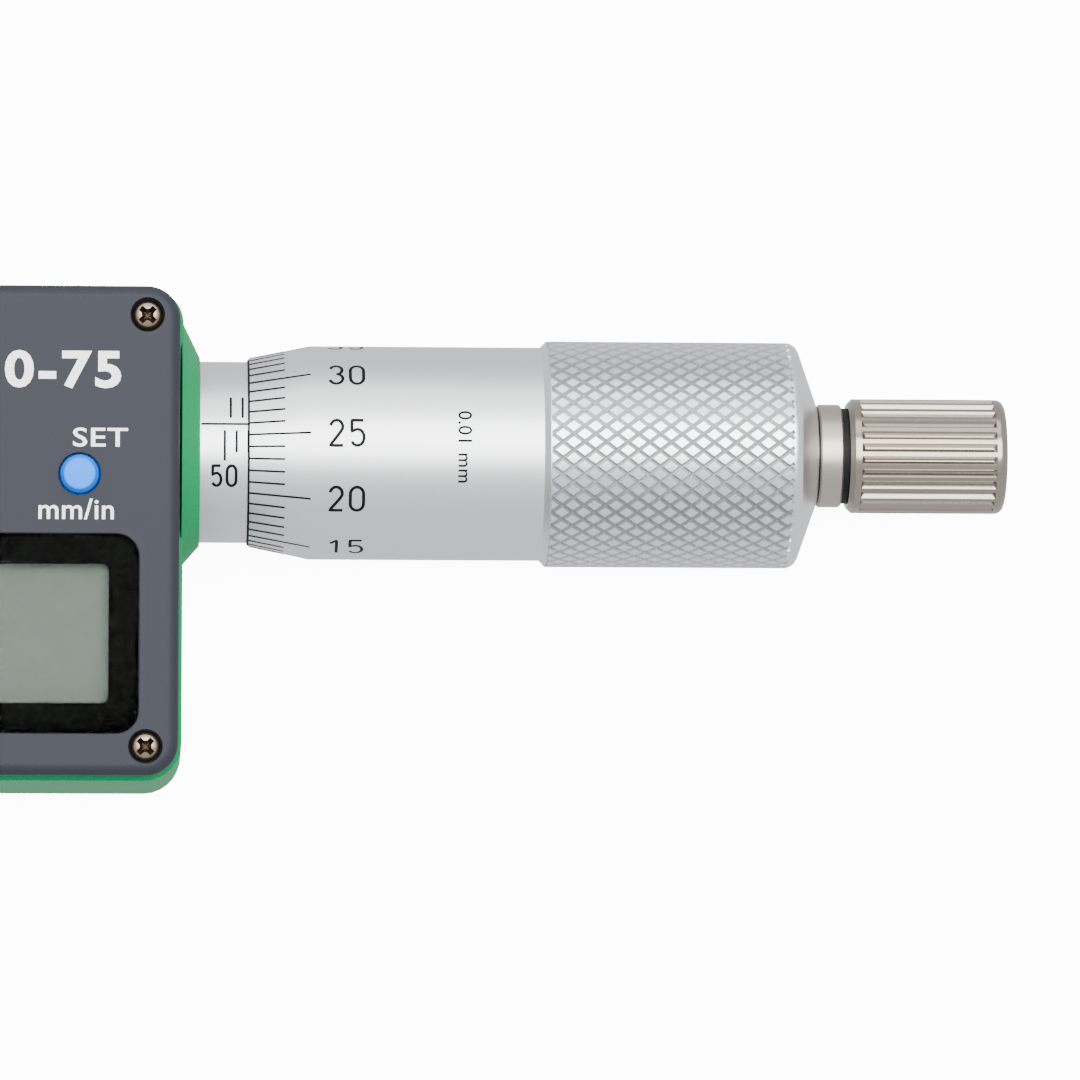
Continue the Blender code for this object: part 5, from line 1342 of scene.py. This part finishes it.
@dataclass(frozen=True)
class SoftBox:
    """A rectangular soft light, in metres and watts."""

    name: str
    place: tuple[float, float, float]
    size: Point
    power: float

    def build(self, target: Vector) -> None:
        """Set the light up.

        Args:
            target: The place that it faces.
        """
        light = bpy.data.lights.new(self.name, "AREA")
        light.shape = "RECTANGLE"
        light.size, light.size_y = self.size
        light.energy = self.power
        stand = bpy.data.objects.new(self.name, light)
        stand.location = self.place
        stand.rotation_euler = (target - Vector(self.place)).to_track_quat("-Z", "Y").to_euler()
        bpy.context.scene.collection.objects.link(stand)


@dataclass
class Studio:
    """The light table, the soft lights and the camera at the photograph's view."""

    distance: float = 618.0 * MM
    aim: Point = (162.2 * MM, -7.35 * MM)
    camera: Point = (128.7 * MM, -25.35 * MM)
    lens: float = 240.8
    sensor_width: float = 36.0
    clip: Point = (0.01, 20.0)
    roll_deg: float = 0.22
    floor_size: float = 4.0
    floor_gap: float = 0.05 * MM
    sky: str = "EEF0F2"
    sky_strength: float = 1.22
    boxes: tuple[SoftBox, ...] = (
        SoftBox("overhead_box", (0.15, 0.17, 0.7), (0.9, 0.52), 13.5),
        SoftBox("upper_fill", (0.1, 0.75, 0.45), (0.9, 0.5), 3.0),
    )

    def build(self) -> None:
        """Set the floor, the world, the lights and the camera."""
        bm = bmesh.new()
        bmesh.ops.create_grid(bm, x_segments=1, y_segments=1, size=self.floor_size / 2)
        mesh = bpy.data.meshes.new("floor")
        bm.to_mesh(mesh)
        bm.free()
        mesh.materials.append(LIGHT_TABLE.material())
        floor = bpy.data.objects.new("floor", mesh)
        floor.location.z = CAD_BOUNDS[0].z - self.floor_gap
        # The object is lit as if it hung well above the table, so the table does not show in its sides
        floor.visible_diffuse = False
        floor.visible_glossy = False
        bpy.context.scene.collection.objects.link(floor)
        world = bpy.data.worlds.new("studio")
        world.use_nodes = True
        background = world.node_tree.nodes["Background"]
        background.inputs["Color"].default_value = linear_colour(self.sky)
        background.inputs["Strength"].default_value = self.sky_strength
        bpy.context.scene.world = world
        for box in self.boxes:
            box.build(Vector((*self.aim, 0.0)))
        self.place_camera()

    def place_camera(self) -> None:
        """Put the camera where the photograph was taken from."""
        data = bpy.data.cameras.new("camera")
        data.lens = self.lens
        data.sensor_width = self.sensor_width
        data.clip_start, data.clip_end = self.clip
        camera = bpy.data.objects.new("camera", data)
        camera.location = (*self.camera, self.distance)
        back = (camera.location - Vector((*self.aim, 0.0))).normalized()
        right = Vector((0.0, 1.0, 0.0)).cross(back).normalized()
        upright = Matrix((right, back.cross(right), back)).transposed()
        roll = Matrix.Rotation(math.radians(self.roll_deg), 3, "Z")
        camera.rotation_euler = (upright @ roll).to_euler()
        bpy.context.scene.collection.objects.link(camera)
        bpy.context.scene.camera = camera


def dress_nodes() -> None:
    """Give every CAD node that stays its finish."""
    for finish, names in NODE_FINISHES.items():
        for name in names:
            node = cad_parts[name]
            node.data.materials.clear()
            node.data.materials.append(finish.material())
            LOG.info("%s: %s", name, finish.name)


def main() -> None:
    """Dress the micrometer and set the studio."""
    logging.basicConfig(level=logging.INFO, format="%(name)s: %(message)s")
    dress_nodes()
    for assembly in (ScaleSleeve(), Thimble(), Ratchet(), DisplayHousing(), CrossScrews()):
        assembly.build()
    Studio().build()


if __name__ == "__main__":
    main()
